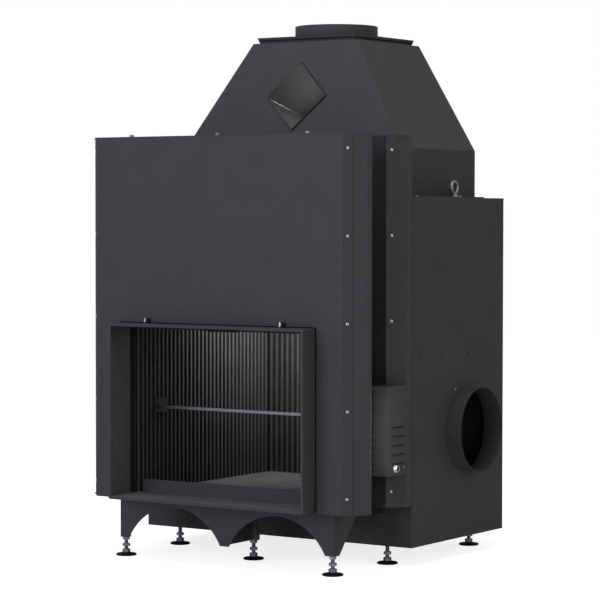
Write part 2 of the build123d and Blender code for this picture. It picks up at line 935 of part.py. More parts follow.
# Spit, its bracket on the left wall, and its drive on the right
with BuildPart() as spit_bracket:
    slot_radius = spit_journal + spit_clearance
    block(
        (-lining_face, bracket_depth - lining_face),
        (spit_y - bracket_front, spit_y - bracket_front + bracket_width),
        (spit_z - bracket_below, spit_z - bracket_below + bracket_height),
    )
    block(
        (-lining_face - overrun, bracket_depth - lining_face + overrun),
        (spit_y - bracket_front - overrun, spit_y),
        (spit_z - slot_radius, spit_z + slot_radius),
        mode=Mode.SUBTRACT,
    )
    seat = (-lining_face - overrun, spit_y, spit_z)
    rod(slot_radius, seat, (1, 0, 0), bracket_depth + 2 * overrun, mode=Mode.SUBTRACT)
spit_bracket.part.label = "spit_bracket"
export_step(spit_bracket.part, "parts/spit_bracket.step")

socket_start = lining_face - drive_head_gap - drive_head_length
socket_half = spit_side / 2 + spit_clearance

with BuildPart() as spit_bar:
    bar_start = bracket_depth - lining_face + spit_end_gap
    block(
        (bar_start, socket_start + socket_depth - spit_end_gap),
        (spit_y - spit_side / 2, spit_y + spit_side / 2),
        (spit_z - spit_side / 2, spit_z + spit_side / 2),
    )
    journal = (spit_end_gap - lining_face, spit_y, spit_z)
    rod(spit_journal, journal, (1, 0, 0), bracket_depth + spit_end_gap)
spit_bar.part.label = "spit_bar"
export_step(spit_bar.part, "parts/spit_bar.step")

box_inner_left = box_left + box_wall

with BuildPart() as spit_drive:
    head = (socket_start, spit_y, spit_z)
    rod(drive_head, head, (1, 0, 0), drive_head_length)
    rod(drive_radius, head, (1, 0, 0), box_inner_left + drive_insertion - socket_start)
    block(
        (socket_start - overrun, socket_start + socket_depth),
        (spit_y - socket_half, spit_y + socket_half),
        (spit_z - socket_half, spit_z + socket_half),
        mode=Mode.SUBTRACT,
    )
spit_drive.part.label = "spit_drive"
export_step(spit_drive.part, "parts/spit_drive.step")

with BuildPart() as spit_bush:
    sleeve = (lining_face, spit_y, spit_z)
    rod(bush_radius, sleeve, (1, 0, 0), box_inner_left - lining_face)
    rod(bush_flange_radius, (shell_outer, spit_y, spit_z), (1, 0, 0), bush_flange)
    bore = (lining_face - overrun, spit_y, spit_z)
    bore_length = box_inner_left - lining_face + 2 * overrun
    rod(drive_radius + spit_clearance, bore, (1, 0, 0), bore_length, mode=Mode.SUBTRACT)
spit_bush.part.label = "spit_bush"
export_step(spit_bush.part, "parts/spit_bush.step")

# Louvred motor box against the bevel of the second casing
bevel_run = rear_bevel_out / rear_bevel_back
bevel_sink = sheet * math.hypot(rear_bevel_out, rear_bevel_back) / rear_bevel_back


def sunk_bevel_x(y):
    """Give where the pan's bevel stands at a given depth."""
    return rear_half + (y - rear_casing_front) * bevel_run - bevel_sink


def rounded_box(x, y, z, radius, mode=Mode.ADD):
    """Add or cut a block whose front left upright edge is rounded."""
    with BuildSketch(Plane.XY.offset(z[0])) as plan:
        with Locations(((x[0] + x[1]) / 2, (y[0] + y[1]) / 2)):
            Rectangle(x[1] - x[0], y[1] - y[0])
        fillet(plan.vertices().group_by(Axis.Y)[0].sort_by(Axis.X)[0], radius)
    extrude(plan.sketch, amount=z[1] - z[0], mode=mode)


def clear_casing(low, high):
    """Cut away what would lie inside the second casing."""
    far = box_rear + box_wall
    near = min(box_left - box_wall - lid_overhang, rear_half - 2 * bevel_sink)
    inside = [
        (near, rear_casing_front),
        (rear_half - bevel_sink, rear_casing_front),
        (sunk_bevel_x(far), far),
        (near, far),
    ]
    plan_plate(inside, low - box_wall, high - low + 2 * box_wall, mode=Mode.SUBTRACT)
    add(rear_casing_cover.part, mode=Mode.SUBTRACT)
    add(casing_rivets.part, mode=Mode.SUBTRACT)


with BuildPart() as motor_box:
    rounded_box((box_left, box_side), (box_front, box_rear), (box_bottom, box_top), box_radius)
    rounded_box(
        (box_inner_left, box_side - box_wall),
        (box_front + box_wall, box_rear - box_wall),
        (box_bottom + box_wall, box_top + box_wall),
        box_radius - box_wall,
        mode=Mode.SUBTRACT,
    )
    clear_casing(box_bottom, box_top)
    for index in range(louvre_count):
        foot = louvre_first + index * louvre_pitch
        with BuildSketch(Plane.XZ.offset(-louvre_y)) as hood:
            with BuildLine():
                Polyline(
                    (box_side - box_wall, foot + louvre_rise),
                    (box_side, foot + louvre_rise),
                    (box_side + louvre_proud, foot),
                    (box_side - box_wall, foot),
                    close=True,
                )
            make_face()
        extrude(hood.sketch, amount=louvre_length / 2, both=True)
        with BuildSketch(Plane.XZ.offset(-louvre_y)) as throat:
            with BuildLine():
                Polyline(
                    (box_side - 2 * box_wall, foot + louvre_rise - 2 * box_wall),
                    (box_side - box_wall / 2, foot + louvre_rise - 2 * box_wall),
                    (box_side + louvre_proud - box_wall, foot - box_wall),
                    (box_side - 2 * box_wall, foot - box_wall),
                    close=True,
                )
            make_face()
        extrude(throat.sketch, amount=louvre_length / 2 - box_wall, both=True, mode=Mode.SUBTRACT)
    shaft_hole = (box_left - box_wall, spit_y, spit_z)
    rod(bush_radius, shaft_hole, (1, 0, 0), 3 * box_wall, mode=Mode.SUBTRACT)
    cable_hole = (box_side - 2 * box_wall, gland_y, gland_z)
    rod(gland_thread, cable_hole, (1, 0, 0), 3 * box_wall, mode=Mode.SUBTRACT)
motor_box.part.label = "motor_box"
export_step(motor_box.part, "parts/motor_box.step")

with BuildPart() as motor_box_lid:
    lid_x = (box_left - lid_overhang, box_side + lid_overhang)
    lid_front = box_front - lid_overhang
    lid_top = box_top + box_wall
    rounded_box(lid_x, (lid_front, box_rear), (lid_top - lid_height, lid_top), box_radius + lid_overhang)
    rounded_box(
        (lid_x[0] + box_wall, lid_x[1] - box_wall),
        (lid_front + box_wall, box_rear + box_wall),
        (lid_top - lid_height - box_wall, box_top),
        box_radius + lid_overhang - box_wall,
        mode=Mode.SUBTRACT,
    )
    clear_casing(lid_top - lid_height, lid_top)
motor_box_lid.part.label = "motor_box_lid"
export_step(motor_box_lid.part, "parts/motor_box_lid.step")

with BuildPart() as spit_motor:
    motor_front = box_front + box_wall + motor_front_gap
    rounded_box(
        (box_inner_left, box_inner_left + motor_length),
        (motor_front, motor_front + motor_width),
        (spit_z - motor_height / 2, spit_z + motor_height / 2),
        box_radius,
    )
    output = (box_left, spit_y, spit_z)
    output_length = box_wall + drive_insertion + drive_end_gap
    rod(drive_radius + spit_clearance, output, (1, 0, 0), output_length, mode=Mode.SUBTRACT)
spit_motor.part.label = "spit_motor"
export_step(spit_motor.part, "parts/spit_motor.step")

with BuildPart() as cable_gland:
    rod(gland_radius, (box_side, gland_y, gland_z), (1, 0, 0), gland_reach)
    inner_end = (box_side - box_wall - gland_inner, gland_y, gland_z)
    rod(gland_thread, inner_end, (1, 0, 0), box_wall + gland_inner)
    rod(gland_bore, inner_end, (1, 0, 0), 2 * gland_inner + gland_reach, mode=Mode.SUBTRACT)
cable_gland.part.label = "cable_gland"
export_step(cable_gland.part, "parts/cable_gland.step")

# Body: folded jacket, front and top plates, base with its beams, side covers on the top
jacket_path = [
    (sheet - body_half, body_front + sheet),
    (sheet - body_half, body_rear - sheet),
    (body_half - sheet, body_rear - sheet),
    (body_half - sheet, body_front + sheet),
]

with BuildPart() as body_jacket:
    folded_sheet(jacket_path, sheet, body_bottom + sheet, body_top - sheet, Side.LEFT)
    for hole_y in (side_hole_first, side_hole_second, side_hole_third):
        across = (-body_half - sheet, hole_y, side_hole_z)
        rod(side_hole_radius, across, (1, 0, 0), body_width + 2 * sheet, mode=Mode.SUBTRACT)
    air_hole = (body_half - 2 * sheet, spigot_y, spigot_z)
    rod(spigot_diameter / 2, air_hole, (1, 0, 0), 3 * sheet, mode=Mode.SUBTRACT)
body_jacket.part.label = "body_jacket"
export_step(body_jacket.part, "parts/body_jacket.step")

with BuildPart() as body_front_plate:
    block(
        (-body_half, body_half),
        (body_front, body_front + sheet),
        (body_bottom + sheet, body_top - sheet),
    )
    block(
        (-shell_outer, shell_outer),
        (body_front - sheet, body_front + 2 * sheet),
        (shell_bottom, neck_top),
        mode=Mode.SUBTRACT,
    )
body_front_plate.part.label = "body_front_plate"
export_step(body_front_plate.part, "parts/body_front_plate.step")

with BuildPart() as body_top_plate:
    block((-body_half, body_half), (body_front, body_rear), (body_top - sheet, body_top))
    block(
        (-shell_outer, shell_outer),
        (chamber_front, shell_rear),
        (body_top - 2 * sheet, body_top + sheet),
        mode=Mode.SUBTRACT,
    )
    for side in (-1, 1):
        eye_hole = (side * eye_x, eye_y, body_top + sheet)
        rod(eye_shank, eye_hole, (0, 0, -1), 3 * sheet, mode=Mode.SUBTRACT)
body_top_plate.part.label = "body_top_plate"
export_step(body_top_plate.part, "parts/body_top_plate.step")

with BuildPart() as body_base:
    block((-body_half, body_half), (body_front, body_rear), (body_bottom, body_bottom + sheet))
    for side in (-1, 1):
        beam = (side * beam_x - beam_width / 2, side * beam_x + beam_width / 2)
        block(beam, (body_front + sheet, shell_rear), (body_bottom + sheet, shell_bottom))
        block(
            (beam[0] + beam_wall, beam[1] - beam_wall),
            (body_front, shell_rear + sheet),
            (body_bottom + sheet, shell_bottom - beam_wall),
            mode=Mode.SUBTRACT,
        )
        for foot_y in (body_foot_front, body_foot_rear):
            stem_hole = (side * body_foot_x, foot_y, body_bottom - sheet)
            rod(stem_radius + stem_clearance, stem_hole, (0, 0, 1), 3 * sheet, mode=Mode.SUBTRACT)
body_base.part.label = "body_base"
export_step(body_base.part, "parts/body_base.step")

with BuildPart() as foot_nut_plates:
    for side in (-1, 1):
        for foot_y in (body_foot_front, body_foot_rear):
            plate_top = body_bottom + sheet + foot_plate
            block(
                (side * body_foot_x - nut_plate_side / 2, side * body_foot_x + nut_plate_side / 2),
                (foot_y - nut_plate_side / 2, foot_y + nut_plate_side / 2),
                (body_bottom + sheet, plate_top),
            )
            nut_hole = (side * body_foot_x, foot_y, body_bottom)
            rod(stem_radius + stem_clearance, nut_hole, (0, 0, 1), 4 * foot_plate, mode=Mode.SUBTRACT)
foot_nut_plates.part.label = "foot_nut_plates"
export_step(foot_nut_plates.part, "parts/foot_nut_plates.step")

cover_inner_x = skirt_width / 2 + skirt_flange + cover_gap

with BuildPart() as body_top_covers:
    for side in (-1, 1):
        block(
            sorted((side * cover_inner_x, side * body_half)),
            (body_front, body_front + cover_depth),
            (body_top, cover_top),
        )
        eye_hole = (side * eye_x, eye_y, cover_top + sheet)
        rod(eye_shank, eye_hole, (0, 0, -1), 3 * sheet, mode=Mode.SUBTRACT)
body_top_covers.part.label = "body_top_covers"
export_step(body_top_covers.part, "parts/body_top_covers.step")

with BuildPart() as body_screws:
    for side in (-1, 1):
        for index in range(2):
            screw = (side * cover_screw_x, cover_screw_front + index * cover_screw_pitch, cover_top)
            rod(screw_radius, screw, (0, 0, 1), screw_head)
        flank = (side * body_half, side_screw_y, side_screw_z)
        rod(screw_radius, flank, (side, 0, 0), screw_head)
    rod(screw_radius, (box_side, box_screw_y, gland_z), (1, 0, 0), screw_head)
body_screws.part.label = "body_screws"
export_step(body_screws.part, "parts/body_screws.step")

# Lifting eyes
with BuildPart() as lifting_eyes:
    ring_radius = (eye_ring - eye_section) / 2
    for side in (-1, 1):
        base = (side * eye_x, eye_y, cover_top)
        rod(eye_collar / 2, base, (0, 0, 1), eye_boss)
        rod(eye_shank, base, (0, 0, -1), eye_shank_length)
        ring_z = cover_top + eye_boss + ring_radius + eye_section / 4
        with Locations(Plane((side * eye_x, eye_y, ring_z), z_dir=(1, 0, 0))):
            Torus(ring_radius, eye_section / 2)
lifting_eyes.part.label = "lifting_eyes"
export_step(lifting_eyes.part, "parts/lifting_eyes.step")

# Air spigot on the right side
with BuildPart() as air_spigot:
    inner_end = body_half - spigot_inner
    spigot_length = spigot_inner + spigot_reach
    rod(spigot_diameter / 2, (inner_end, spigot_y, spigot_z), (1, 0, 0), spigot_length)
    collar_radius = spigot_diameter / 2 + collar_width
    rod(collar_radius, (body_half, spigot_y, spigot_z), (1, 0, 0), collar_thickness)
    bore_radius = spigot_diameter / 2 - spigot_wall
    bore_start = (inner_end - sheet, spigot_y, spigot_z)
    rod(bore_radius, bore_start, (1, 0, 0), spigot_length + 2 * sheet, mode=Mode.SUBTRACT)
air_spigot.part.label = "air_spigot"
export_step(air_spigot.part, "parts/air_spigot.step")

# Smoke hood: skirt with its base flange, tapering hood, and the square tube set on its corner
skirt_span = (skirt_front, skirt_rear)
top_span = (hood_top_front, skirt_rear)
tube_share = tube_height_on_slope / hood_rise
slope_run = hood_top_front - skirt_front
slope_length = math.hypot(slope_run, hood_rise)
tube_centre = (0, skirt_front + slope_run * tube_share, hood_base + tube_height_on_slope)
tube_plane = Plane(tube_centre, x_dir=(1, 0, 0), z_dir=(0, -hood_rise, slope_run))
tube_reach = 2 * skirt_depth


def tube_prism(side_length, mode=Mode.ADD):
    """Add or cut the long square prism, standing on its corner, that the tube fills."""
    with BuildSketch(tube_plane.offset(tube_proud)) as square:
        Rectangle(side_length, side_length, rotation=45)
    extrude(square.sketch, amount=-tube_reach, mode=mode)


with BuildPart() as hood_skirt:
    block(
        (-skirt_width / 2 - skirt_flange, skirt_width / 2 + skirt_flange),
        (skirt_front - skirt_flange, skirt_rear + skirt_flange_rear),
        (body_top, body_top + skirt_flange_plate),
    )
    block((-skirt_width / 2, skirt_width / 2), skirt_span, (body_top, hood_base))
    block(
        (hood_wall - skirt_width / 2, skirt_width / 2 - hood_wall),
        (skirt_front + hood_wall, skirt_rear - hood_wall),
        (body_top - sheet, hood_base + sheet),
        mode=Mode.SUBTRACT,
    )
    tube_prism(tube_side, mode=Mode.SUBTRACT)
hood_skirt.part.label = "hood_skirt"
export_step(hood_skirt.part, "parts/hood_skirt.step")

with BuildPart() as hood:
    outside = [span(skirt_width, skirt_span, hood_base), span(hood_top_width, top_span, hood_top)]
    loft(outside, ruled=True)
    inside = [
        span(skirt_width, skirt_span, hood_base, hood_wall),
        span(hood_top_width, top_span, hood_top, hood_wall),
    ]
    loft(inside, ruled=True, mode=Mode.SUBTRACT)
    block((-hood_top_width / 2, hood_top_width / 2), top_span, (hood_top - hood_wall, hood_top))
    flue_hole = (0, flue_y, hood_top - 2 * hood_wall)
    rod(flue_bore, flue_hole, (0, 0, 1), 3 * hood_wall, mode=Mode.SUBTRACT)
    tube_prism(tube_side, mode=Mode.SUBTRACT)
hood.part.label = "hood"
export_step(hood.part, "parts/hood.step")


def tube_half(keep):
    """Add the upper (+1) or lower (-1) folded angle of the tube."""
    tube_prism(tube_side)
    tube_prism(tube_side - 2 * tube_wall, mode=Mode.SUBTRACT)
    with BuildSketch(tube_plane.offset(2 * tube_proud)) as cut:
        with Locations((0, -tube_seam - keep * tube_side)):
            Rectangle(4 * tube_side, 2 * tube_side)
    extrude(cut.sketch, amount=-2 * tube_reach, mode=Mode.SUBTRACT)
    behind = skirt_rear + tube_proud
    block(
        (-2 * tube_side, 2 * tube_side),
        (behind, behind + 2 * tube_reach),
        (body_bottom - tube_reach, hood_top),
        mode=Mode.SUBTRACT,
    )


with BuildPart() as tube_upper:
    tube_half(1)
tube_upper.part.label = "tube_upper"
export_step(tube_upper.part, "parts/tube_upper.step")

with BuildPart() as tube_lower:
    tube_half(-1)
tube_lower.part.label = "tube_lower"
export_step(tube_lower.part, "parts/tube_lower.step")

# Folded tray on the hood, and the flue collar that stands on it
tray_span = (flange_front, flange_front + flange_depth)

with BuildPart() as flue_tray:
    skin = [
        span(flange_width, tray_span, hood_top, flange_slant),
        span(flange_width, tray_span, flange_top),
    ]
    loft(skin, ruled=True)
    hollow = [
        span(flange_width, tray_span, hood_top, flange_slant + flange_sheet),
        span(flange_width, tray_span, flange_top - flange_sheet, flange_sheet),
    ]
    loft(hollow, ruled=True, mode=Mode.SUBTRACT)
    tray_hole = (0, flue_y, flange_top - 2 * flange_sheet)
    rod(flue_bore, tray_hole, (0, 0, 1), 3 * flange_sheet, mode=Mode.SUBTRACT)
flue_tray.part.label = "flue_tray"
export_step(flue_tray.part, "parts/flue_tray.step")

with BuildPart() as flue_collar:
    rod(flue_diameter / 2, (0, flue_y, flange_top), (0, 0, 1), flue_height)
    flue_start = (0, flue_y, flange_top - sheet)
    rod(flue_bore, flue_start, (0, 0, 1), flue_height + 2 * sheet, mode=Mode.SUBTRACT)
flue_collar.part.label = "flue_collar"
export_step(flue_collar.part, "parts/flue_collar.step")

# Apron with two arches, its side cheeks and the nut plates in its legs
arch_start = middle_leg_width / 2
arch_end = apron_half - leg_width
arch_middle = (arch_start + arch_end) / 2

with BuildPart() as apron:
    with BuildSketch(Plane.XZ.offset(-apron_front - apron_plate)):
        with BuildLine():
            Polyline(
                (apron_half, leg_bottom),
                (apron_half, casing_bottom),
                (-apron_half, casing_bottom),
                (-apron_half, leg_bottom),
                (-arch_end, leg_bottom),
            )
            left_crown = (-arch_middle, leg_bottom + arch_rise)
            ThreePointArc((-arch_end, leg_bottom), left_crown, (-arch_start, leg_bottom))
            Line((-arch_start, leg_bottom), (arch_start, leg_bottom))
            right_crown = (arch_middle, leg_bottom + arch_rise)
            ThreePointArc((arch_start, leg_bottom), right_crown, (arch_end, leg_bottom))
            Line((arch_end, leg_bottom), (apron_half, leg_bottom))
        make_face()
    extrude(amount=apron_plate)
    cheek = [
        (apron_front, leg_bottom),
        (apron_front + leg_depth, leg_bottom),
        (apron_front + leg_taper_depth, casing_bottom),
        (apron_front, casing_bottom),
    ]
    profile_bar(cheek, shell_outer, apron_half)
    profile_bar(cheek, -apron_half, -shell_outer)
    for side in (-1, 1):
        block(
            sorted((side * (front_foot_x - leg_nut_plate), side * shell_outer)),
            (apron_front + apron_plate, front_foot_y + leg_nut_plate),
            (leg_bottom, leg_bottom + foot_plate),
        )
        stem_hole = (side * front_foot_x, front_foot_y, leg_bottom - foot_plate)
        rod(stem_radius + stem_clearance, stem_hole, (0, 0, 1), 3 * foot_plate, mode=Mode.SUBTRACT)
apron.part.label = "apron"
export_step(apron.part, "parts/apron.step")

# Middle leg: post under the firebox, and the web that ties it to the apron
with BuildPart() as middle_leg:
    post_half = post_side / 2
    sleeve_half = sleeve_side / 2
    block((-post_half, post_half), (-post_half, post_half), (post_bottom, shell_bottom))
    sleeve_span = (post_bottom, post_bottom + sleeve_height)
    block((-sleeve_half, sleeve_half), (-sleeve_half, sleeve_half), sleeve_span)
    block(
        (post_wall - post_half, post_half - post_wall),
        (post_wall - post_half, post_half - post_wall),
        (post_bottom + foot_plate, shell_bottom + post_wall),
        mode=Mode.SUBTRACT,
    )
    rod(stem_radius + stem_clearance, (0, 0, 0), (0, 0, 1), post_bottom + 2 * foot_plate, mode=Mode.SUBTRACT)
    block(
        (-web_plate / 2, web_plate / 2),
        (apron_front + apron_plate, -post_half),
        (web_bottom, shell_bottom),
    )
middle_leg.part.label = "middle_leg"
export_step(middle_leg.part, "parts/middle_leg.step")

with BuildPart() as lock_nuts:
    nut_places = [
        (-front_foot_x, front_foot_y, leg_bottom),
        (front_foot_x, front_foot_y, leg_bottom),
        (0, 0, post_bottom),
    ]
    for nut in nut_places:
        hexagon(hex_across, nut, (0, 0, -1), lock_nut_height)
        rod(stem_radius + stem_clearance, nut, (0, 0, -1), lock_nut_height, mode=Mode.SUBTRACT)
lock_nuts.part.label = "lock_nuts"
export_step(lock_nuts.part, "parts/lock_nuts.step")


# Levelling feet
def levelling_foot(x, y):
    """Add one foot: pad, dome, stem and its two hexagons."""
    rod(pad_radius, (x, y, 0), (0, 0, 1), pad_height)
    rod(pad_dome_radius, (x, y, pad_height), (0, 0, 1), pad_dome)
    stem_base = pad_height + pad_dome
    rod(stem_radius, (x, y, stem_base), (0, 0, 1), stem_length)
    hexagon(hex_across, (x, y, stem_base), (0, 0, 1), hex_height)
    hexagon(hex_across, (x, y, front_nut_level), (0, 0, 1), lock_nut_height)


with BuildPart() as foot_middle:
    levelling_foot(0, 0)
foot_middle.part.label = "foot_middle"
export_step(foot_middle.part, "parts/foot_middle.step")

with BuildPart() as foot_front_left:
    levelling_foot(-front_foot_x, front_foot_y)
foot_front_left.part.label = "foot_front_left"
export_step(foot_front_left.part, "parts/foot_front_left.step")

with BuildPart() as foot_front_right:
    levelling_foot(front_foot_x, front_foot_y)
foot_front_right.part.label = "foot_front_right"
export_step(foot_front_right.part, "parts/foot_front_right.step")

with BuildPart() as foot_body_front_left:
    levelling_foot(-body_foot_x, body_foot_front)
foot_body_front_left.part.label = "foot_body_front_left"
export_step(foot_body_front_left.part, "parts/foot_body_front_left.step")

with BuildPart() as foot_body_front_right:
    levelling_foot(body_foot_x, body_foot_front)
foot_body_front_right.part.label = "foot_body_front_right"
export_step(foot_body_front_right.part, "parts/foot_body_front_right.step")

with BuildPart() as foot_body_rear_left:
    levelling_foot(-body_foot_x, body_foot_rear)
foot_body_rear_left.part.label = "foot_body_rear_left"
export_step(foot_body_rear_left.part, "parts/foot_body_rear_left.step")

with BuildPart() as foot_body_rear_right:
    levelling_foot(body_foot_x, body_foot_rear)
foot_body_rear_right.part.label = "foot_body_rear_right"
export_step(foot_body_rear_right.part, "parts/foot_body_rear_right.step")
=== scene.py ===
import math

import bmesh
import bpy
from mathutils import Matrix, Vector


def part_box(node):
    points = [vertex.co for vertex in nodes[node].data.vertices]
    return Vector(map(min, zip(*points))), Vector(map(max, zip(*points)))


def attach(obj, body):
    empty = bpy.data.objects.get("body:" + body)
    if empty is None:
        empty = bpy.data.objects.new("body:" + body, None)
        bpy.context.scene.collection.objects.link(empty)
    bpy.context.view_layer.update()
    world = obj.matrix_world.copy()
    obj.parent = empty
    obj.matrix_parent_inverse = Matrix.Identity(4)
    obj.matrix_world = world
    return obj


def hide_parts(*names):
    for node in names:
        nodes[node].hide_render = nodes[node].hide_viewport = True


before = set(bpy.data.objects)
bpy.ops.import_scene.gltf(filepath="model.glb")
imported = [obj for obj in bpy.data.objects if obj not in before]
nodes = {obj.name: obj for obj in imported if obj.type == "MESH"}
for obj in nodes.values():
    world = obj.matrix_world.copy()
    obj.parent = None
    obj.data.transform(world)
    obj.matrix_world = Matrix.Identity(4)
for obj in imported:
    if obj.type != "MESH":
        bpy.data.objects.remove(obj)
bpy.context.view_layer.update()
MM = 0.001
X, Y, Z = Vector((1, 0, 0)), Vector((0, 1, 0)), Vector((0, 0, 1))
# Paint and refractory stone reflect less at a glance than the usual level of 0.5
DULL_SPECULAR = 0.2


# Materials

def lin(code):
    """Turn a hex sRGB colour into linear RGBA."""
    out = []
    for i in (0, 2, 4):
        c = int(code[i:i + 2], 16) / 255
        out.append(c / 12.92 if c <= 0.04045 else ((c + 0.055) / 1.055) ** 2.4)
    return (*out, 1.0)


def node(mat, kind, wires=None, **settings):
    """Add one node; settings name its sockets or its properties, wires name its linked sockets."""
    n = mat.node_tree.nodes.new(kind)
    for key, value in settings.items():
        if hasattr(n, key):
            setattr(n, key, value)
        else:
            n.inputs[key.replace("_", " ")].default_value = value
    for key, source in (wires or {}).items():
        mat.node_tree.links.new(source, n.inputs[key])
    return n


def new_material(name):
    """Empty node material."""
    mat = bpy.data.materials.new(name)
    mat.use_nodes = True
    mat.node_tree.nodes.clear()
    return mat


def finish(mat, shader):
    """Send a shader to the material's output."""
    out = node(mat, "ShaderNodeOutputMaterial")
    mat.node_tree.links.new(shader.outputs[0], out.inputs[0])
    return mat


def grain(mat, size_mm, detail=2.0, rough=0.5, stretch=(1, 1, 1)):
    """Noise whose features are about size_mm across, in the object's own metres."""
    coord = node(mat, "ShaderNodeTexCoord")
    mapping = node(mat, "ShaderNodeMapping", {"Vector": coord.outputs["Object"]}, Scale=stretch)
    return node(mat, "ShaderNodeTexNoise", {"Vector": mapping.outputs[0]},
                Scale=1000 / size_mm, Detail=detail, Roughness=rough)


def between(mat, fac, low, high, at=(0.35, 0.65)):
    """Colour ramp from low to high over a noise factor."""
    ramp = node(mat, "ShaderNodeValToRGB", {"Fac": fac})
    ramp.color_ramp.elements[0].position = at[0]
    ramp.color_ramp.elements[1].position = at[1]
    ramp.color_ramp.elements[0].color = low
    ramp.color_ramp.elements[1].color = high
    return ramp


def remap(mat, fac, low, high, at=(0.3, 0.7)):
    """Spread a noise factor over low to high."""
    return node(mat, "ShaderNodeMapRange", {"Value": fac}, From_Min=at[0], From_Max=at[1],
                To_Min=low, To_Max=high)


def painted(name, dark, light, rough, texture_mm, depth_mm, cloud_mm=90):
    """Textured powder coat: fine orange peel, faint clouding and a satin roughness that varies."""
    mat = new_material(name)
    cloud = grain(mat, cloud_mm, 4, 0.6)
    peel = grain(mat, texture_mm, 3, 0.6)
    pits = grain(mat, texture_mm * 4, 2, 0.5)
    tone = between(mat, cloud.outputs["Fac"], lin(dark), lin(light))
    gloss = remap(mat, pits.outputs["Fac"], rough - 0.06, rough + 0.08)
    both = node(mat, "ShaderNodeMath", {0: peel.outputs["Fac"], 1: pits.outputs["Fac"]},
                operation="ADD")
    bump = node(mat, "ShaderNodeBump", {"Height": both.outputs[0]},
                Strength=0.5, Distance=depth_mm * MM)
    shader = node(mat, "ShaderNodeBsdfPrincipled",
                  {"Base Color": tone.outputs[0], "Roughness": gloss.outputs[0],
                   "Normal": bump.outputs[0]},
                  Metallic=0.0)
    shader.inputs["Specular IOR Level"].default_value = DULL_SPECULAR
    return finish(mat, shader)


def stone(name, dark, light, rough, grit_mm, depth_mm):
    """Pressed refractory: grit in two sizes, soft stains and a dry surface."""
    mat = new_material(name)
    stain = grain(mat, 70, 5, 0.65)
    grit = grain(mat, grit_mm, 4, 0.7)
    coord = node(mat, "ShaderNodeTexCoord")
    fleck = node(mat, "ShaderNodeTexVoronoi", {"Vector": coord.outputs["Object"]},
                 Scale=1000 / (grit_mm * 3))
    tone = between(mat, stain.outputs["Fac"], lin(dark), lin(light), (0.3, 0.7))
    fine = remap(mat, grit.outputs["Fac"], 0.82, 1.12)
    mixed = node(mat, "ShaderNodeVectorMath", {0: tone.outputs[0], 1: fine.outputs[0]},
                 operation="MULTIPLY")
    height = node(mat, "ShaderNodeMath", {0: grit.outputs["Fac"], 1: fleck.outputs["Distance"]},
                  operation="ADD")
    bump = node(mat, "ShaderNodeBump", {"Height": height.outputs[0]},
                Strength=0.6, Distance=depth_mm * MM)
    shader = node(mat, "ShaderNodeBsdfPrincipled",
                  {"Base Color": mixed.outputs[0], "Normal": bump.outputs[0]}, Roughness=rough)
    shader.inputs["Specular IOR Level"].default_value = DULL_SPECULAR
    return finish(mat, shader)


def metal(name, dark, light, rough, streak=(1, 1, 1), size_mm=3.0, metallic=1.0):
    """Bare or plated metal with fine streaks in its tone and gloss."""
    mat = new_material(name)
    streaks = grain(mat, size_mm, 3, 0.6, streak)
    tone = between(mat, streaks.outputs["Fac"], lin(dark), lin(light))
    gloss = remap(mat, streaks.outputs["Fac"], rough - 0.07, rough + 0.09)
    bump = node(mat, "ShaderNodeBump", {"Height": streaks.outputs["Fac"]},
                Strength=0.12, Distance=0.02 * MM)
    shader = node(mat, "ShaderNodeBsdfPrincipled",
                  {"Base Color": tone.outputs[0], "Roughness": gloss.outputs[0],
                   "Normal": bump.outputs[0]},
                  Metallic=metallic)
    return finish(mat, shader)


def glass(name):
    """Clear pane with a faint haze in its gloss."""
    mat = new_material(name)
    haze = grain(mat, 60, 3, 0.5)
    gloss = remap(mat, haze.outputs["Fac"], 0.02, 0.07)
    shader = node(mat, "ShaderNodeBsdfPrincipled", {"Roughness": gloss.outputs[0]}, IOR=1.5,
                  Transmission_Weight=1.0)
    shader.inputs["Base Color"].default_value = lin("E8EEEA")
    return finish(mat, shader)


def woven(name):
    """Flat glass-fibre tape: a fine plain weave."""
    mat = new_material(name)
    # The wave texture repeats every 0.314 of its scale, which gives threads 2.5 mm apart
    wave_mm = 8.0
    coord = node(mat, "ShaderNodeTexCoord")
    warp = node(mat, "ShaderNodeTexWave", {"Vector": coord.outputs["Object"]},
                bands_direction="X", Scale=1000 / wave_mm)
    weft = node(mat, "ShaderNodeTexWave", {"Vector": coord.outputs["Object"]},
                bands_direction="Z", Scale=1000 / wave_mm)
    cross = node(mat, "ShaderNodeMath", {0: warp.outputs["Fac"], 1: weft.outputs["Fac"]},
                 operation="MULTIPLY")
    tone = between(mat, cross.outputs[0], lin("5A5A57"), lin("8B8A84"), (0.1, 0.9))
    bump = node(mat, "ShaderNodeBump", {"Height": cross.outputs[0]},
                Strength=0.6, Distance=0.3 * MM)
    shader = node(mat, "ShaderNodeBsdfPrincipled",
                  {"Base Color": tone.outputs[0], "Normal": bump.outputs[0]}, Roughness=0.9)
    return finish(mat, shader)


# Powder coat, baked on sheet steel: even charcoal with a satin sheen and a fine orange peel.
# Real orange peel is about 0.3 mm across; it is drawn three times as coarse, so that it shows.
CASING = painted("powder_coat_casing", "404041", "434344", 0.52, 0.9, 0.06)
# A darker, duller copy of the same coat: painted shade on the second casing's front, where the
# first one shades it
SHADED = painted("powder_coat_shaded", "313133", "353537", 0.60, 0.9, 0.05)
# The same coat, painted paler as painted light on the jamb's inner faces, in small cloudy patches
JAMB = painted("powder_coat_jamb", "4F4F50", "565656", 0.60, 0.9, 0.08, 25)
# The same coat painted palest on the sill as painted light, with a mottled grain
SILL = painted("powder_coat_sill", "5A5C59", "656763", 0.60, 0.9, 0.08, 6)
# Sprayed heat-proof paint: flat dark grey with hardly any sheen
BODY = painted("heat_paint_body", "3D3D3D", "414141", 0.60, 0.8, 0.05)
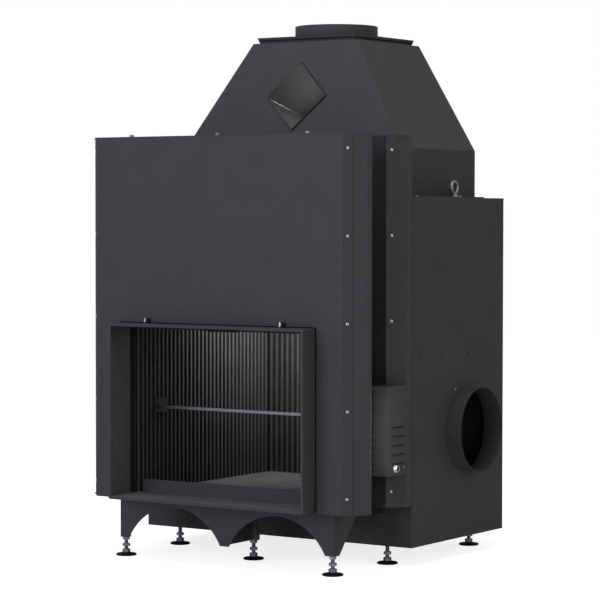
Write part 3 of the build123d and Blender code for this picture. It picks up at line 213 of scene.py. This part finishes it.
# The same paint, a touch lighter as painted light: on the hood and flue parts for the studio's top
# light,
# # and on the body's front plate
HOOD = painted("heat_paint_hood", "424242", "464646", 0.60, 0.8, 0.05)
# The same paint inside the casings, nearly black and quite matt
DARK = painted("heat_paint_inside", "262626", "2B2B2B", 0.70, 0.8, 0.05)
# Pressed refractory with soot on it: dry mid grey with gritty speckles
LINING = stone("refractory_lining", "484848", "525251", 0.85, 1.2, 0.12)
# The same stone between the ribs, painted almost black as the grooves' shade
GROOVE = stone("refractory_groove_shade", "262626", "2C2C2C", 0.9, 1.2, 0.12)
# Cast refractory hearth plates, swept clean: pale, coarser grit
HEARTH = stone("refractory_hearth", "6A6B6B", "767777", 0.88, 1.4, 0.2)
# Zinc-plated steel: cool grey with a soft, slightly streaky shine
ZINC = metal("zinc_plated_steel", "84848A", "A0A0A6", 0.42)
# Polished nickel plate: near white with small sharp highlights
BRIGHT = metal("nickel_plated", "D8D8D8", "F4F4F4", 0.25)
# Chemically blackened steel: dark, but with a metal's edge highlights
LATCH = metal("blackened_steel", "2E2F30", "3A3B3C", 0.40)
# Ground rod: mid grey, streaked along its length
SPIT = metal("ground_steel", "77787E", "8E8F95", 0.36, (0.05, 1, 1), 1.2)
# Sand-cast iron: dark and rough, only part metallic under its scale
IRON = metal("raw_cast_iron", "2A2A2B", "3A3A3B", 0.60, (1, 1, 1), 2.5, 0.6)
# Bare rubbed brass: warm and glossy
BRASS = metal("plain_brass", "8A6A32", "B48C48", 0.35)
# Moulded polyamide: black, with a dull, faintly grained skin
RUBBER = painted("moulded_black_plastic", "0A0A0B", "101011", 0.70, 0.6, 0.03)
# Black for painted shadow on the flat inlays that stand for shaded gaps, slots and rivet mandrels,
# on
# # the tube's outer faces, which catch no light, and for the dark joints between plates
HOLE = painted("joint_black_and_painted_shadow", "0A0A0A", "0E0E0E", 0.9, 0.8, 0.02)
# Dark grey for painted shade on the inlays that stand for shallow slots and the throats under the
# louvres
SLOT = painted("painted_shade_slot_grey", "2C2D31", "303136", 0.8, 0.8, 0.02)
# Rolled glass ceramic: clear with a barely green cast
PANE = glass("glass_ceramic_pane")
# Woven glass-fibre tape: grey, dry and coarse enough for its threads to show
TAPE = woven("glass_fibre_tape")

by_material = {
    CASING: "front_casing_cover front_casing_pan rear_casing_cover rear_casing_pan opening_frame "
            "apron motor_box motor_box_lid middle_leg",
    BODY: "body_jacket body_top_plate body_base body_top_covers hood_skirt tube_upper "
          "tube_lower air_spigot log_retainer spit_bracket",
    HOOD: "hood flue_collar flue_tray body_front_plate",
    DARK: "door_frame door_handle firebox_shell door_rail_left door_rail_right foot_nut_plates",
    LINING: "lining_left lining_right lining_back baffle",
    HEARTH: "hearth_plates",
    ZINC: "casing_rivets casing_bolts body_screws lifting_eyes lock_nuts pulley_left pulley_right "
          "spit_bush spit_motor foot_middle foot_front_left foot_front_right foot_body_front_left "
          "foot_body_front_right foot_body_rear_left foot_body_rear_right",
    BRIGHT: "cable_gland",
    LATCH: "latch_left latch_right",
    SILL: "opening_sill",
    SPIT: "spit_bar spit_drive",
    IRON: "counterweights",
    BRASS: "door_shoes",
    PANE: "door_glass",
    TAPE: "door_gasket",
}
for mat, names in by_material.items():
    for name in names.split():
        mesh = nodes[name].data
        mesh.materials.clear()
        mesh.materials.append(mat)


def recoat(names, mat, test):
    """Give a second finish to the faces whose centre in mm passes the test."""
    for name in names.split():
        mesh = nodes[name].data
        mesh.materials.append(mat)
        for face in mesh.polygons:
            if test(face.center / MM):
                face.material_index = 1


# The post of the middle leg is bare plated steel; the web that ties it to the apron is painted
WEB_BACK = -13.5
recoat("middle_leg", ZINC, lambda c: c.y > WEB_BACK)
# Only the wings of the latches are polished
WING_BACK = -204.5
recoat("latch_left latch_right", BRIGHT, lambda c: c.y < WING_BACK)
# Painted shade darkens the grooves between the ribs; the lands stay lighter
SIDE_GROOVES = (328.5, 340)
BACK_GROOVES = (561.5, 573)
recoat("lining_left lining_right", GROOVE,
       lambda c: SIDE_GROOVES[0] < abs(c.x) < SIDE_GROOVES[1])
recoat("lining_back", GROOVE, lambda c: BACK_GROOVES[0] < c.y < BACK_GROOVES[1])
# Painted shade: the second casing's flat front, which stands in the first one's shade, gets the
# darker copy of its coat
REAR_FLAT_BACK, REAR_FLAT_HALF = 38.5, 424
recoat("rear_casing_cover", SHADED, lambda c: c.y < REAR_FLAT_BACK and abs(c.x) < REAR_FLAT_HALF)
# The tube's outer faces only show as a rim where it stands proud of the hood, square to its slope,
# and get
# # black painted shade; on them, the distances across and up the slope add up to the tube's half
# diagonal
TUBE_MOUTH = Vector((0, 222.7, 1348))
TUBE_OUT = Vector((0, -322, 85)).normalized()
TUBE_UP = TUBE_OUT.cross(X)
TUBE_INNER_CORNER, TUBE_RIM = 101.8, 105
recoat("tube_upper tube_lower", HOLE,
       lambda c: abs(c.x) + abs((c - TUBE_MOUTH).dot(TUBE_UP)) > TUBE_RIM)
# The inner faces of the opening frame get a duller coat, painted paler as painted light
JAMB_HALF, JAMB_DEPTH, JAMB_HEIGHT = 335.5, (-249, -140), (185, 680)
recoat("opening_frame", JAMB, lambda c: (abs(c.x) < JAMB_HALF
                                         and JAMB_DEPTH[0] < c.y < JAMB_DEPTH[1]
                                         and JAMB_HEIGHT[0] < c.z < JAMB_HEIGHT[1]))


# Sharp sheet and block edges get the small rounding that folded and painted metal has

def ease(names, width_mm, segments=2, angle=30):
    """Round the sharp edges of CAD nodes after joining their flat triangles."""
    for name in names.split():
        o = nodes[name]
        weld = o.modifiers.new("weld", "WELD")
        weld.merge_threshold = 0.02 * MM
        flat = o.modifiers.new("flat", "DECIMATE")
        flat.decimate_type = "DISSOLVE"
        flat.angle_limit = math.radians(0.5)
        bevel = o.modifiers.new("edge", "BEVEL")
        bevel.width = width_mm * MM
        bevel.segments = segments
        bevel.limit_method = "ANGLE"
        bevel.angle_limit = math.radians(angle)
        bevel.harden_normals = True


ease("front_casing_cover front_casing_pan rear_casing_cover rear_casing_pan", 0.7)
ease("opening_frame opening_sill apron door_frame door_handle log_retainer", 0.6)
ease("body_jacket body_front_plate body_top_plate body_base body_top_covers", 0.8)
ease("hood_skirt hood flue_tray flue_collar tube_upper tube_lower", 0.9)
ease("air_spigot motor_box_lid motor_box middle_leg spit_bracket", 0.5)
ease("hearth_plates baffle", 1.2)
ease("lining_left lining_right lining_back", 0.8)
ease("counterweights", 1.5)


# Mesh helpers

def piece(name, bm, mat, body, smooth=40, replaces=None):
    """Turn a bmesh into a piece of the object that rides on a CAD body."""
    bmesh.ops.remove_doubles(bm, verts=bm.verts, dist=1e-6)
    bmesh.ops.recalc_face_normals(bm, faces=bm.faces)
    limit = math.radians(smooth)
    for f in bm.faces:
        f.smooth = True
    for e in bm.edges:
        e.smooth = len(e.link_faces) == 2 and e.calc_face_angle(0) < limit
    mesh = bpy.data.meshes.new(name)
    bm.to_mesh(mesh)
    bm.free()
    mesh.materials.append(mat)
    o = bpy.data.objects.new(name, mesh)
    bpy.context.scene.collection.objects.link(o)
    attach(o, body)
    if replaces:
        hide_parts(*replaces)
    return o


def turn_to(axis):
    """Rotation that lays +Z along an axis."""
    return Z.rotation_difference(Vector(axis).normalized()).to_matrix().to_4x4()


def lathe(bm, profile, place, axis=(0, 0, 1), sides=40):
    """Revolve (radius, height) points in mm about an axis through a place in metres."""
    frame_at = Matrix.Translation(place) @ turn_to(axis)
    rings = []
    for r, h in profile:
        if r < 1e-6:
            rings.append([bm.verts.new(frame_at @ Vector((0, 0, h * MM)))])
            continue
        ring = []
        for k in range(sides):
            a = 2 * math.pi * k / sides
            at = Vector((r * math.cos(a), r * math.sin(a), h)) * MM
            ring.append(bm.verts.new(frame_at @ at))
        rings.append(ring)
    for low, high in zip(rings, rings[1:]):
        for k in range(sides):
            j = (k + 1) % sides
            if len(low) == 1 and len(high) == 1:
                continue
            if len(low) == 1:
                bm.faces.new((low[0], high[k], high[j]))
            elif len(high) == 1:
                bm.faces.new((low[k], low[j], high[0]))
            else:
                bm.faces.new((low[k], low[j], high[j], high[k]))
    return bm


NUT_SIDES = 48


def nut(bm, across, height, place, axis=(0, 0, 1), hole=0.0, turn=0.0):
    """Hexagon in mm with chamfered corners at both ends; hole is its bore radius."""
    frame_at = Matrix.Translation(place) @ turn_to(axis)
    flat = across / 2
    corner = flat / math.cos(math.pi / 6)
    face_radius = flat * 0.97
    cut = (corner - flat) * 0.62
    dip = cut * 0.9

    def ring(radius_at, level_at):
        made = []
        for k in range(NUT_SIDES):
            a = 2 * math.pi * k / NUT_SIDES
            at = Vector((radius_at(a) * math.cos(a + turn), radius_at(a) * math.sin(a + turn),
                         level_at(a))) * MM
            made.append(bm.verts.new(frame_at @ at))
        return made

    def hexagon(a):
        return flat / math.cos((a + math.pi / 6) % (math.pi / 3) - math.pi / 6)

    def bowed(a):
        """How far the chamfer's edge bows past its level: none at a corner, dip at mid flat."""
        return dip * (1 - (hexagon(a) - flat) / (corner - flat))

    rings = [ring(lambda a: face_radius, lambda a: 0.0),
             ring(hexagon, lambda a: cut - bowed(a)),
             ring(hexagon, lambda a: height - cut + bowed(a)),
             ring(lambda a: face_radius, lambda a: height)]
    if hole:
        rings += [ring(lambda a: hole, lambda a: height),
                  ring(lambda a: hole, lambda a: 0.0), rings[0]]
    for low, high in zip(rings, rings[1:]):
        for k in range(NUT_SIDES):
            j = (k + 1) % NUT_SIDES
            bm.faces.new((low[k], low[j], high[j], high[k]))
    if not hole:
        bm.faces.new(rings[0])
        bm.faces.new(list(reversed(rings[-1])))
    return bm


def thread(low, high, radius, pitch=1.75, depth=0.9):
    """Lathe profile of a threaded rod."""
    points = [(0, low), (radius - depth, low)]
    z = low + 0.4
    while z + pitch < high:
        points += [(radius - depth, z), (radius, z + pitch * 0.4), (radius, z + pitch * 0.6)]
        z += pitch
    points += [(radius - depth, high - 0.2), (radius - depth * 1.4, high), (0, high)]
    return points


def scaled(profile, r, h):
    """Lathe profile given as shares of a radius and a height."""
    return [(r * across, h * along) for across, along in profile]


# A point well inside the object, which every head on its outside faces away from
HEART = Vector((0.0, 0.2, 0.6))


def heads(name):
    """Base point, outward axis, radius and height in mm of each separate head in a CAD node."""
    bm = bmesh.new()
    bm.from_mesh(nodes[name].data)
    bmesh.ops.remove_doubles(bm, verts=bm.verts, dist=1e-5)
    left = set(bm.verts)
    found = []
    while left:
        island = {left.pop()}
        edge = list(island)
        while edge:
            for e in edge.pop().link_edges:
                for v in e.verts:
                    if v in left:
                        left.discard(v)
                        island.add(v)
                        edge.append(v)
        area = {}
        for f in {f for v in island for f in v.link_faces}:
            # The largest flat tells the axis; the small weights give both of its sides one sign
            n = f.normal if f.normal.z + f.normal.y * 0.1 + f.normal.x * 0.01 > 0 else -f.normal
            key = tuple(round(c, 2) for c in n)
            area[key] = area.get(key, 0) + f.calc_area()
        axis = Vector(max(area, key=area.get)).normalized()
        middle = sum((v.co for v in island), Vector()) / len(island)
        if axis.dot(middle - HEART) < 0:
            axis = -axis
        along = [v.co.dot(axis) for v in island]
        across = max((v.co - middle - axis * (v.co - middle).dot(axis)).length for v in island)
        base = middle + axis * (min(along) - middle.dot(axis))
        found.append((base, axis, across / MM, (max(along) - min(along)) / MM))
    bm.free()
    return sorted(found, key=lambda h: tuple(round(c, 4) for c in h[0]))


# Levelling feet: moulded pad, ball collar with a spanner hexagon, threaded stem and stop nut

PAD = [(0, 0), (28.0, 0), (29.6, 0.9), (30.0, 2.2), (29.6, 4.2), (28.6, 5.4), (26.5, 6.0),
       (19.0, 6.6), (14.2, 7.6), (13.0, 8.4), (12.4, 9.0), (0, 9.0)]
COLLAR = [(0, 9.0), (9.3, 9.0), (9.3, 9.6), (8.2, 9.9), (8.2, 10.4), (0, 10.4)]

SPANNER = 20.5
STEM_RADIUS = 6
FOOT_BORE = 5.4
COLLAR_HEX_AT, COLLAR_HEX_HEIGHT = 9.6, 9.4
STOP_NUT_AT, STOP_NUT_HEIGHT, STOP_NUT_TURN = 27, 8, 0.35
THREAD_FROM, THREAD_END_GAP = 18, 0.5

for name in [n for n in nodes if n.startswith("foot_") and n != "foot_nut_plates"]:
    low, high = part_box(name)
    place = Vector(((low.x + high.x) / 2, (low.y + high.y) / 2, low.z))
    body = name + "_body"
    bm = lathe(bmesh.new(), PAD, place, sides=64)
    piece(name + "_pad", bm, RUBBER, body, 35, [name])
    bm = lathe(bmesh.new(), COLLAR, place, sides=40)
    nut(bm, SPANNER, COLLAR_HEX_HEIGHT, place + Z * COLLAR_HEX_AT * MM)
    thread_to = (high.z - low.z) / MM - THREAD_END_GAP
    lathe(bm, thread(THREAD_FROM, thread_to, STEM_RADIUS), place, sides=28)
    nut(bm, SPANNER, STOP_NUT_HEIGHT, place + Z * STOP_NUT_AT * MM,
        hole=FOOT_BORE, turn=STOP_NUT_TURN)
    piece(name + "_stem", bm, ZINC, body, 32, [name])

# Each lock nut stopped at its own angle when it was tightened
LOCK_NUT_ACROSS, FIRST_TURN, NEXT_TURN = 19, 0.2, 0.37
bm = bmesh.new()
for k, (base, axis, radius, height) in enumerate(heads("lock_nuts")):
    nut(bm, LOCK_NUT_ACROSS, height, base, axis, hole=FOOT_BORE, turn=FIRST_TURN + NEXT_TURN * k)
piece("lock_nut_hexagons", bm, ZINC, "fireplace", 32, ["lock_nuts"])


# Fasteners: pull rivets with their broken mandrels, bolts on washers, and pan-head screws

RIVET_DOME = [(0, 0), (1, 0), (1, 0.18), (0.93, 0.5), (0.74, 0.82), (0.5, 0.97), (0.42, 1),
              (0.30, 0.98), (0.27, 0.62), (0, 0.58)]
RIVET_MANDREL = [(0, 0.6), (0.40, 0.99), (0.37, 1.0), (0, 1)]
SCREW_HEAD = [(0, 0), (1, 0), (1, 0.35), (0.94, 0.62), (0.78, 0.86), (0.5, 1), (0.42, 1),
              (0.36, 0.45), (0, 0.45)]
WASHER = 1.4

# The rivets' broken mandrels sit in black painted shadow
for name, mat, profile, sides in (("rivet_domes", BRIGHT, RIVET_DOME, 28),
                                  ("rivet_mandrels", HOLE, RIVET_MANDREL, 16)):
    bm = bmesh.new()
    for base, axis, r, h in heads("casing_rivets"):
        lathe(bm, scaled(profile, r, h), base, axis, sides)
    piece(name, bm, mat, "fireplace", 40, ["casing_rivets"])

bm = bmesh.new()
for k, (base, axis, r, h) in enumerate(heads("casing_bolts")):
    lathe(bm, [(0, 0), (r * 0.9, 0), (r * 0.92, 0.3), (r * 0.92, WASHER - 0.3), (r * 0.86, WASHER),
               (0, WASHER)], base, axis, 36)
    nut(bm, r * 1.4, h - WASHER, base + axis * WASHER * MM, axis, turn=0.3 * k)
piece("bolt_heads_and_washers", bm, ZINC, "fireplace", 32, ["casing_bolts"])

bm = bmesh.new()
for base, axis, r, h in heads("body_screws"):
    lathe(bm, scaled(SCREW_HEAD, r, h), base, axis, 24)
piece("screw_heads", bm, ZINC, "fireplace", 40, ["body_screws"])


# Cable gland: hexagon body, knurled dome nut and the black seal with its opening

# The louvres stand out from the lid's face by this much, at its side and at its front
LOUVRE_RISE = 3.0
box_low, box_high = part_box("motor_box_lid")
box_face = box_high.x / MM - LOUVRE_RISE
box_front = box_low.y / MM + LOUVRE_RISE
GLAND_BORE, GLAND_HEX, KNURL_TO = 4.2, 3.6, 9.2
KNURL_STEPS, KNURL_STEP = 10, 0.5

(base, axis, r, h), = heads("cable_gland")
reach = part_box("cable_gland")[1].x / MM - box_face
base = Vector((box_face * MM, base.y, base.z))
bm = nut(bmesh.new(), r * 1.86, GLAND_HEX, base, axis, hole=GLAND_BORE)
knurl = [(r * (0.95 if k % 2 else 0.89), GLAND_HEX + KNURL_STEP * k) for k in range(KNURL_STEPS)]
dome = [(r * 0.88, KNURL_TO), (r * 0.80, reach - 0.6), (r * 0.70, reach), (7.0, reach - 0.4)]
lathe(bm, [(GLAND_BORE, GLAND_HEX)] + knurl + dome + [(GLAND_BORE, 8.0), (GLAND_BORE, GLAND_HEX)],
      base, axis, 40)
piece("gland_nut", bm, BRIGHT, "fireplace", 35, ["cable_gland"])
SEAL = [(4.0, 4.0), (6.6, 10.6), (6.9, 11.7), (6.2, 11.9), (2.6, 11.8), (2.4, 4.4), (4.0, 4.0)]
bm = lathe(bmesh.new(), SEAL, base, axis, 32)
piece("gland_seal", bm, RUBBER, "fireplace", 40, ["cable_gland"])


# Slots, as flat inlays of painted shade: the dark throats below the stamped louvres, the box's row
# of
# # vents, and the slots in the front plate for the tabs of the guide rails behind it

SLOT_SIDES = 24


def slot(bm, place, across, up, width, height, rise):
    """Flat stadium outline in mm with a bevelled rim, on a face that runs along across and up."""
    out = across.cross(up)
    r = min(width, height) / 2
    rings = []
    for scale, lift in ((1.0, 0.0), (1.0, rise * 0.6), (0.82, rise)):
        ring = []
        for k in range(SLOT_SIDES):
            a = 2 * math.pi * (k + 0.5) / SLOT_SIDES
            along = math.copysign(width / 2 - r, math.cos(a)) + r * math.cos(a)
            upward = math.copysign(height / 2 - r, math.sin(a)) + r * math.sin(a)
            at = Vector(place) + (across * along + up * upward) * scale + out * lift
            ring.append(bm.verts.new(at * MM))
        rings.append(ring)
    for a, b in zip(rings, rings[1:]):
        for k in range(SLOT_SIDES):
            j = (k + 1) % SLOT_SIDES
            bm.faces.new((a[k], a[j], b[j], b[k]))
    bm.faces.new(rings[0])
    bm.faces.new(list(reversed(rings[-1])))


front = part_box("front_casing_cover")[0].y / MM
# Width, height and stand-off of one slot of each kind
RAIL_SLOT, UPRIGHT_SLOT = (8.5, 3.2, 0.15), (2.4, 9, 0.1)
RAIL_SLOT_X = 412
RAIL_SLOTS_Z = (1002.5, 925, 884, 774.5)
UPRIGHT_SLOTS_XZ = ((171, 875), (256, 799), (298, 760))
bm = bmesh.new()
for side in (-1, 1):
    for z in RAIL_SLOTS_Z:
        slot(bm, (side * RAIL_SLOT_X, front, z), X, Z, *RAIL_SLOT)
    for x, z in UPRIGHT_SLOTS_XZ:
        slot(bm, (side * x, front, z), X, Z, *UPRIGHT_SLOT)
piece("rail_tab_slots", bm, SLOT, "fireplace", 40)

LOUVRES, LOUVRE_Y, LOUVRE_Z, LOUVRE_PITCH = 5, 15, 304.8, 25.6
LOUVRE_SHADE = (64, 6.4, 0.1)
bm = bmesh.new()
for k in range(LOUVRES):
    slot(bm, (box_face, LOUVRE_Y, LOUVRE_Z + LOUVRE_PITCH * k), Y, Z, *LOUVRE_SHADE)
piece("louvre_shades", bm, SLOT, "fireplace", 40)
VENTS, VENT_X, VENT_Z, VENT_PITCH = 11, 431.5, 284, 22
VENT = (3.2, 9, 0.1)
bm = bmesh.new()
for k in range(VENTS):
    slot(bm, (VENT_X, box_front, VENT_Z + VENT_PITCH * k), X, Z, *VENT)
piece("box_vents", bm, HOLE, "fireplace", 40)

# Painted shade line under the tray's lip, whose sides lean in, and painted shadow in the gap along
# # both sides of the opening frame
LIP_LEAN, LIP_LINE_Z, LIP_LINE = 3.0, 1520.5, 4.2
OPENING_MIDDLE = 432
FRAME_GAP_X, FRAME_GAP = 339.6, (2.2, 508, 0.05)
low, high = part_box("flue_tray")
bm = bmesh.new()
slot(bm, (0, low.y / MM + LIP_LEAN, LIP_LINE_Z), X, Z,
     (high.x - low.x) / MM - 2 * LIP_LEAN, LIP_LINE, 0.5)
slot(bm, (high.x / MM - LIP_LEAN, (low.y + high.y) / 2 / MM, LIP_LINE_Z), Y, Z,
     (high.y - low.y) / MM - 2 * LIP_LEAN, LIP_LINE, 0.5)
for side in (-1, 1):
    slot(bm, (side * FRAME_GAP_X, front, OPENING_MIDDLE), X, Z, *FRAME_GAP)
piece("shade_lines", bm, HOLE, "fireplace", 40)

# Dark joints between the hearth plates and where the lining's front edges meet the door's guides,
# # and painted shade in the lining's two rear corners
HEARTH_SEAM_X, HEARTH_MIDDLE_Y, HEARTH_SEAM = 109.3, 214, (2.2, 690, 0.08)
LINING_X, LINING_FRONT_Y, LINING_MOUTH = 328, -128, (7.5, 492, 0.1)
CORNER_MIDDLE_Z = 477
CORNER_SIDE_Y, CORNER_SIDE = 554.6, (12, 582, 0.1)
CORNER_BACK_X, CORNER_BACK_Y, CORNER_BACK = 325.8, 561, (4, 582, 0.1)
hearth_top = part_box("hearth_plates")[1].z / MM
bm = bmesh.new()
for x in (-HEARTH_SEAM_X, HEARTH_SEAM_X):
    slot(bm, (x, HEARTH_MIDDLE_Y, hearth_top), X, Y, *HEARTH_SEAM)
for side in (-1, 1):
    slot(bm, (side * LINING_X, LINING_FRONT_Y, OPENING_MIDDLE), Y * -side, Z, *LINING_MOUTH)
    slot(bm, (side * LINING_X, CORNER_SIDE_Y, CORNER_MIDDLE_Z), Y * -side, Z, *CORNER_SIDE)
    slot(bm, (side * CORNER_BACK_X, CORNER_BACK_Y, CORNER_MIDDLE_Z), X, Z, *CORNER_BACK)
piece("dark_joints_and_corner_shade", bm, HOLE, "fireplace", 40)


# Rolled edge of the lower angle along the convection tube's left seam, from the mouth inwards

BEAD_RADIUS, BEAD_LENGTH = 1.9, 240
BEAD_FROM_CORNER, BEAD_BELOW_CENTRE, BEAD_BEHIND_MOUTH = 9.4, 7.8, 3
bead = [(0, 0), (1.5, 0.4), (BEAD_RADIUS, 1.5), (BEAD_RADIUS, BEAD_LENGTH - 2), (1.5, BEAD_LENGTH),
        (0, BEAD_LENGTH)]
bead_start = (TUBE_MOUTH - X * (TUBE_INNER_CORNER - BEAD_FROM_CORNER)
              - TUBE_UP * BEAD_BELOW_CENTRE - TUBE_OUT * BEAD_BEHIND_MOUTH)
bm = lathe(bmesh.new(), bead, bead_start * MM, -TUBE_OUT, 14)
piece("tube_seam_edge", bm, ZINC, "fireplace", 40)


# Camera at the photograph's angle

AZIMUTH, PITCH, ROLL = math.radians(33.52), math.radians(2.06), math.radians(0.06)
CAMERA_PLACE = (3.918, -5.673, 1.000)
FOCAL_LENGTH, SENSOR = 143.3, 36
level = Vector((-math.sin(AZIMUTH), math.cos(AZIMUTH), 0))
ahead = level * math.cos(PITCH) - Z * math.sin(PITCH)
right = Vector((math.cos(AZIMUTH), math.sin(AZIMUTH), 0))
up = right.cross(ahead)
right, up = (right * math.cos(ROLL) + up * math.sin(ROLL),
             up * math.cos(ROLL) - right * math.sin(ROLL))
camera = bpy.data.objects.new("camera", bpy.data.cameras.new("camera"))
camera.data.lens = FOCAL_LENGTH
camera.data.sensor_width = SENSOR
camera.data.clip_end = 100
turn = Matrix((right, up, -ahead)).transposed().to_4x4()
camera.matrix_world = Matrix.Translation(CAMERA_PLACE) @ turn
bpy.context.scene.collection.objects.link(camera)
bpy.context.scene.camera = camera


# Soft studio light: a broad cool key from the front left, a wide top light, dim lamps that even out
# the firebox, the tube and the motor box, and a low all-round fill

def softbox(name, place, aim, width, height, watts, tint):
    """Rectangular lamp at a place in metres, turned to an aim, hidden from the camera."""
    lamp = bpy.data.lights.new(name, "AREA")
    lamp.shape = "RECTANGLE"
    lamp.size = width
    lamp.size_y = height
    lamp.energy = watts
    lamp.color = lin(tint)[:3]
    o = bpy.data.objects.new(name, lamp)
    o.matrix_world = Matrix.Translation(place) @ (
        (Vector(aim) - Vector(place)).to_track_quat("-Z", "Y").to_matrix().to_4x4())
    o.visible_camera = False
    bpy.context.scene.collection.objects.link(o)


softbox("key", (-1.6, -5.2, 2.5), (0, 0, 0.8), 3.2, 3.2, 88, "DFE7FF")
softbox("top", (0.3, -1.2, 4.4), (0, 0.1, 0.8), 3.0, 2.0, 58, "F2F4FF")
softbox("side", (4.4, -0.6, 1.6), (0, 0.2, 0.8), 2.6, 2.6, 26, "FFFFFF")
softbox("camera_side", (4.3, -4.1, 1.5), (0, 0, 0.6), 2.2, 2.2, 12, "FFFFFF")
softbox("low", (-0.9, -5.6, 0.7), (0, 0, 0.4), 2.0, 1.0, 24, "F2F4FF")
softbox("in_firebox", (-0.02, 0.34, 0.745), (-0.33, 0.54, 0.60), 0.3, 0.12, 2.8, "F5F8FA")
softbox("in_tube", (0.065, 0.33, 1.31), (-0.05, 0.30, 1.32), 0.16, 0.02, 0.3, "FFFFFF")
softbox("at_motor_box", (0.50, -0.108, 0.396), (0.46, -0.041, 0.396), 0.02, 0.24, 0.09, "FFFFFF")

# Seen directly or through glass the world is white, in gloss about a third of that; the rest of it
# is a dim fill
FILL_STRENGTH, GLOSS_SHARE = 0.27, 0.35
world = bpy.data.worlds.new("studio")
bpy.context.scene.world = world
world.use_nodes = True
world.node_tree.nodes.clear()
path = node(world, "ShaderNodeLightPath")
seen = node(world, "ShaderNodeMath",
            {0: path.outputs["Is Camera Ray"], 1: path.outputs["Is Transmission Ray"]},
            operation="MAXIMUM")
shown = node(world, "ShaderNodeMath", {0: path.outputs["Is Glossy Ray"], 2: seen.outputs[0]},
             operation="MULTIPLY_ADD", use_clamp=True)
shown.inputs[1].default_value = GLOSS_SHARE
fill = node(world, "ShaderNodeBackground", Color=lin("E9EBEE"), Strength=FILL_STRENGTH)
white = node(world, "ShaderNodeBackground", Color=(1, 1, 1, 1), Strength=1.0)
mixed = node(world, "ShaderNodeMixShader",
             {0: shown.outputs[0], 1: fill.outputs[0], 2: white.outputs[0]})
node(world, "ShaderNodeOutputWorld", {"Surface": mixed.outputs[0]})

# White floor paper: it keeps the object's shadow, and a glow that only the camera sees whitens it
FLOOR_RADIUS = 30
floor_paper = new_material("pale_paper_floor")
path = node(floor_paper, "ShaderNodeLightPath")
paper = node(floor_paper, "ShaderNodeBsdfDiffuse", Color=lin("F2F2F2"))
glow = node(floor_paper, "ShaderNodeEmission", {"Strength": path.outputs["Is Camera Ray"]},
            Color=(0.8, 0.8, 0.8, 1))
finish(floor_paper, node(floor_paper, "ShaderNodeAddShader",
                         {0: paper.outputs[0], 1: glow.outputs[0]}))
bm = bmesh.new()
bmesh.ops.create_circle(bm, cap_ends=True, segments=96, radius=FLOOR_RADIUS)
mesh = bpy.data.meshes.new("studio_floor")
bm.to_mesh(mesh)
bm.free()
mesh.materials.append(floor_paper)
floor = bpy.data.objects.new("studio_floor", mesh)
bpy.context.scene.collection.objects.link(floor)

bpy.context.scene.view_settings.view_transform = "Standard"
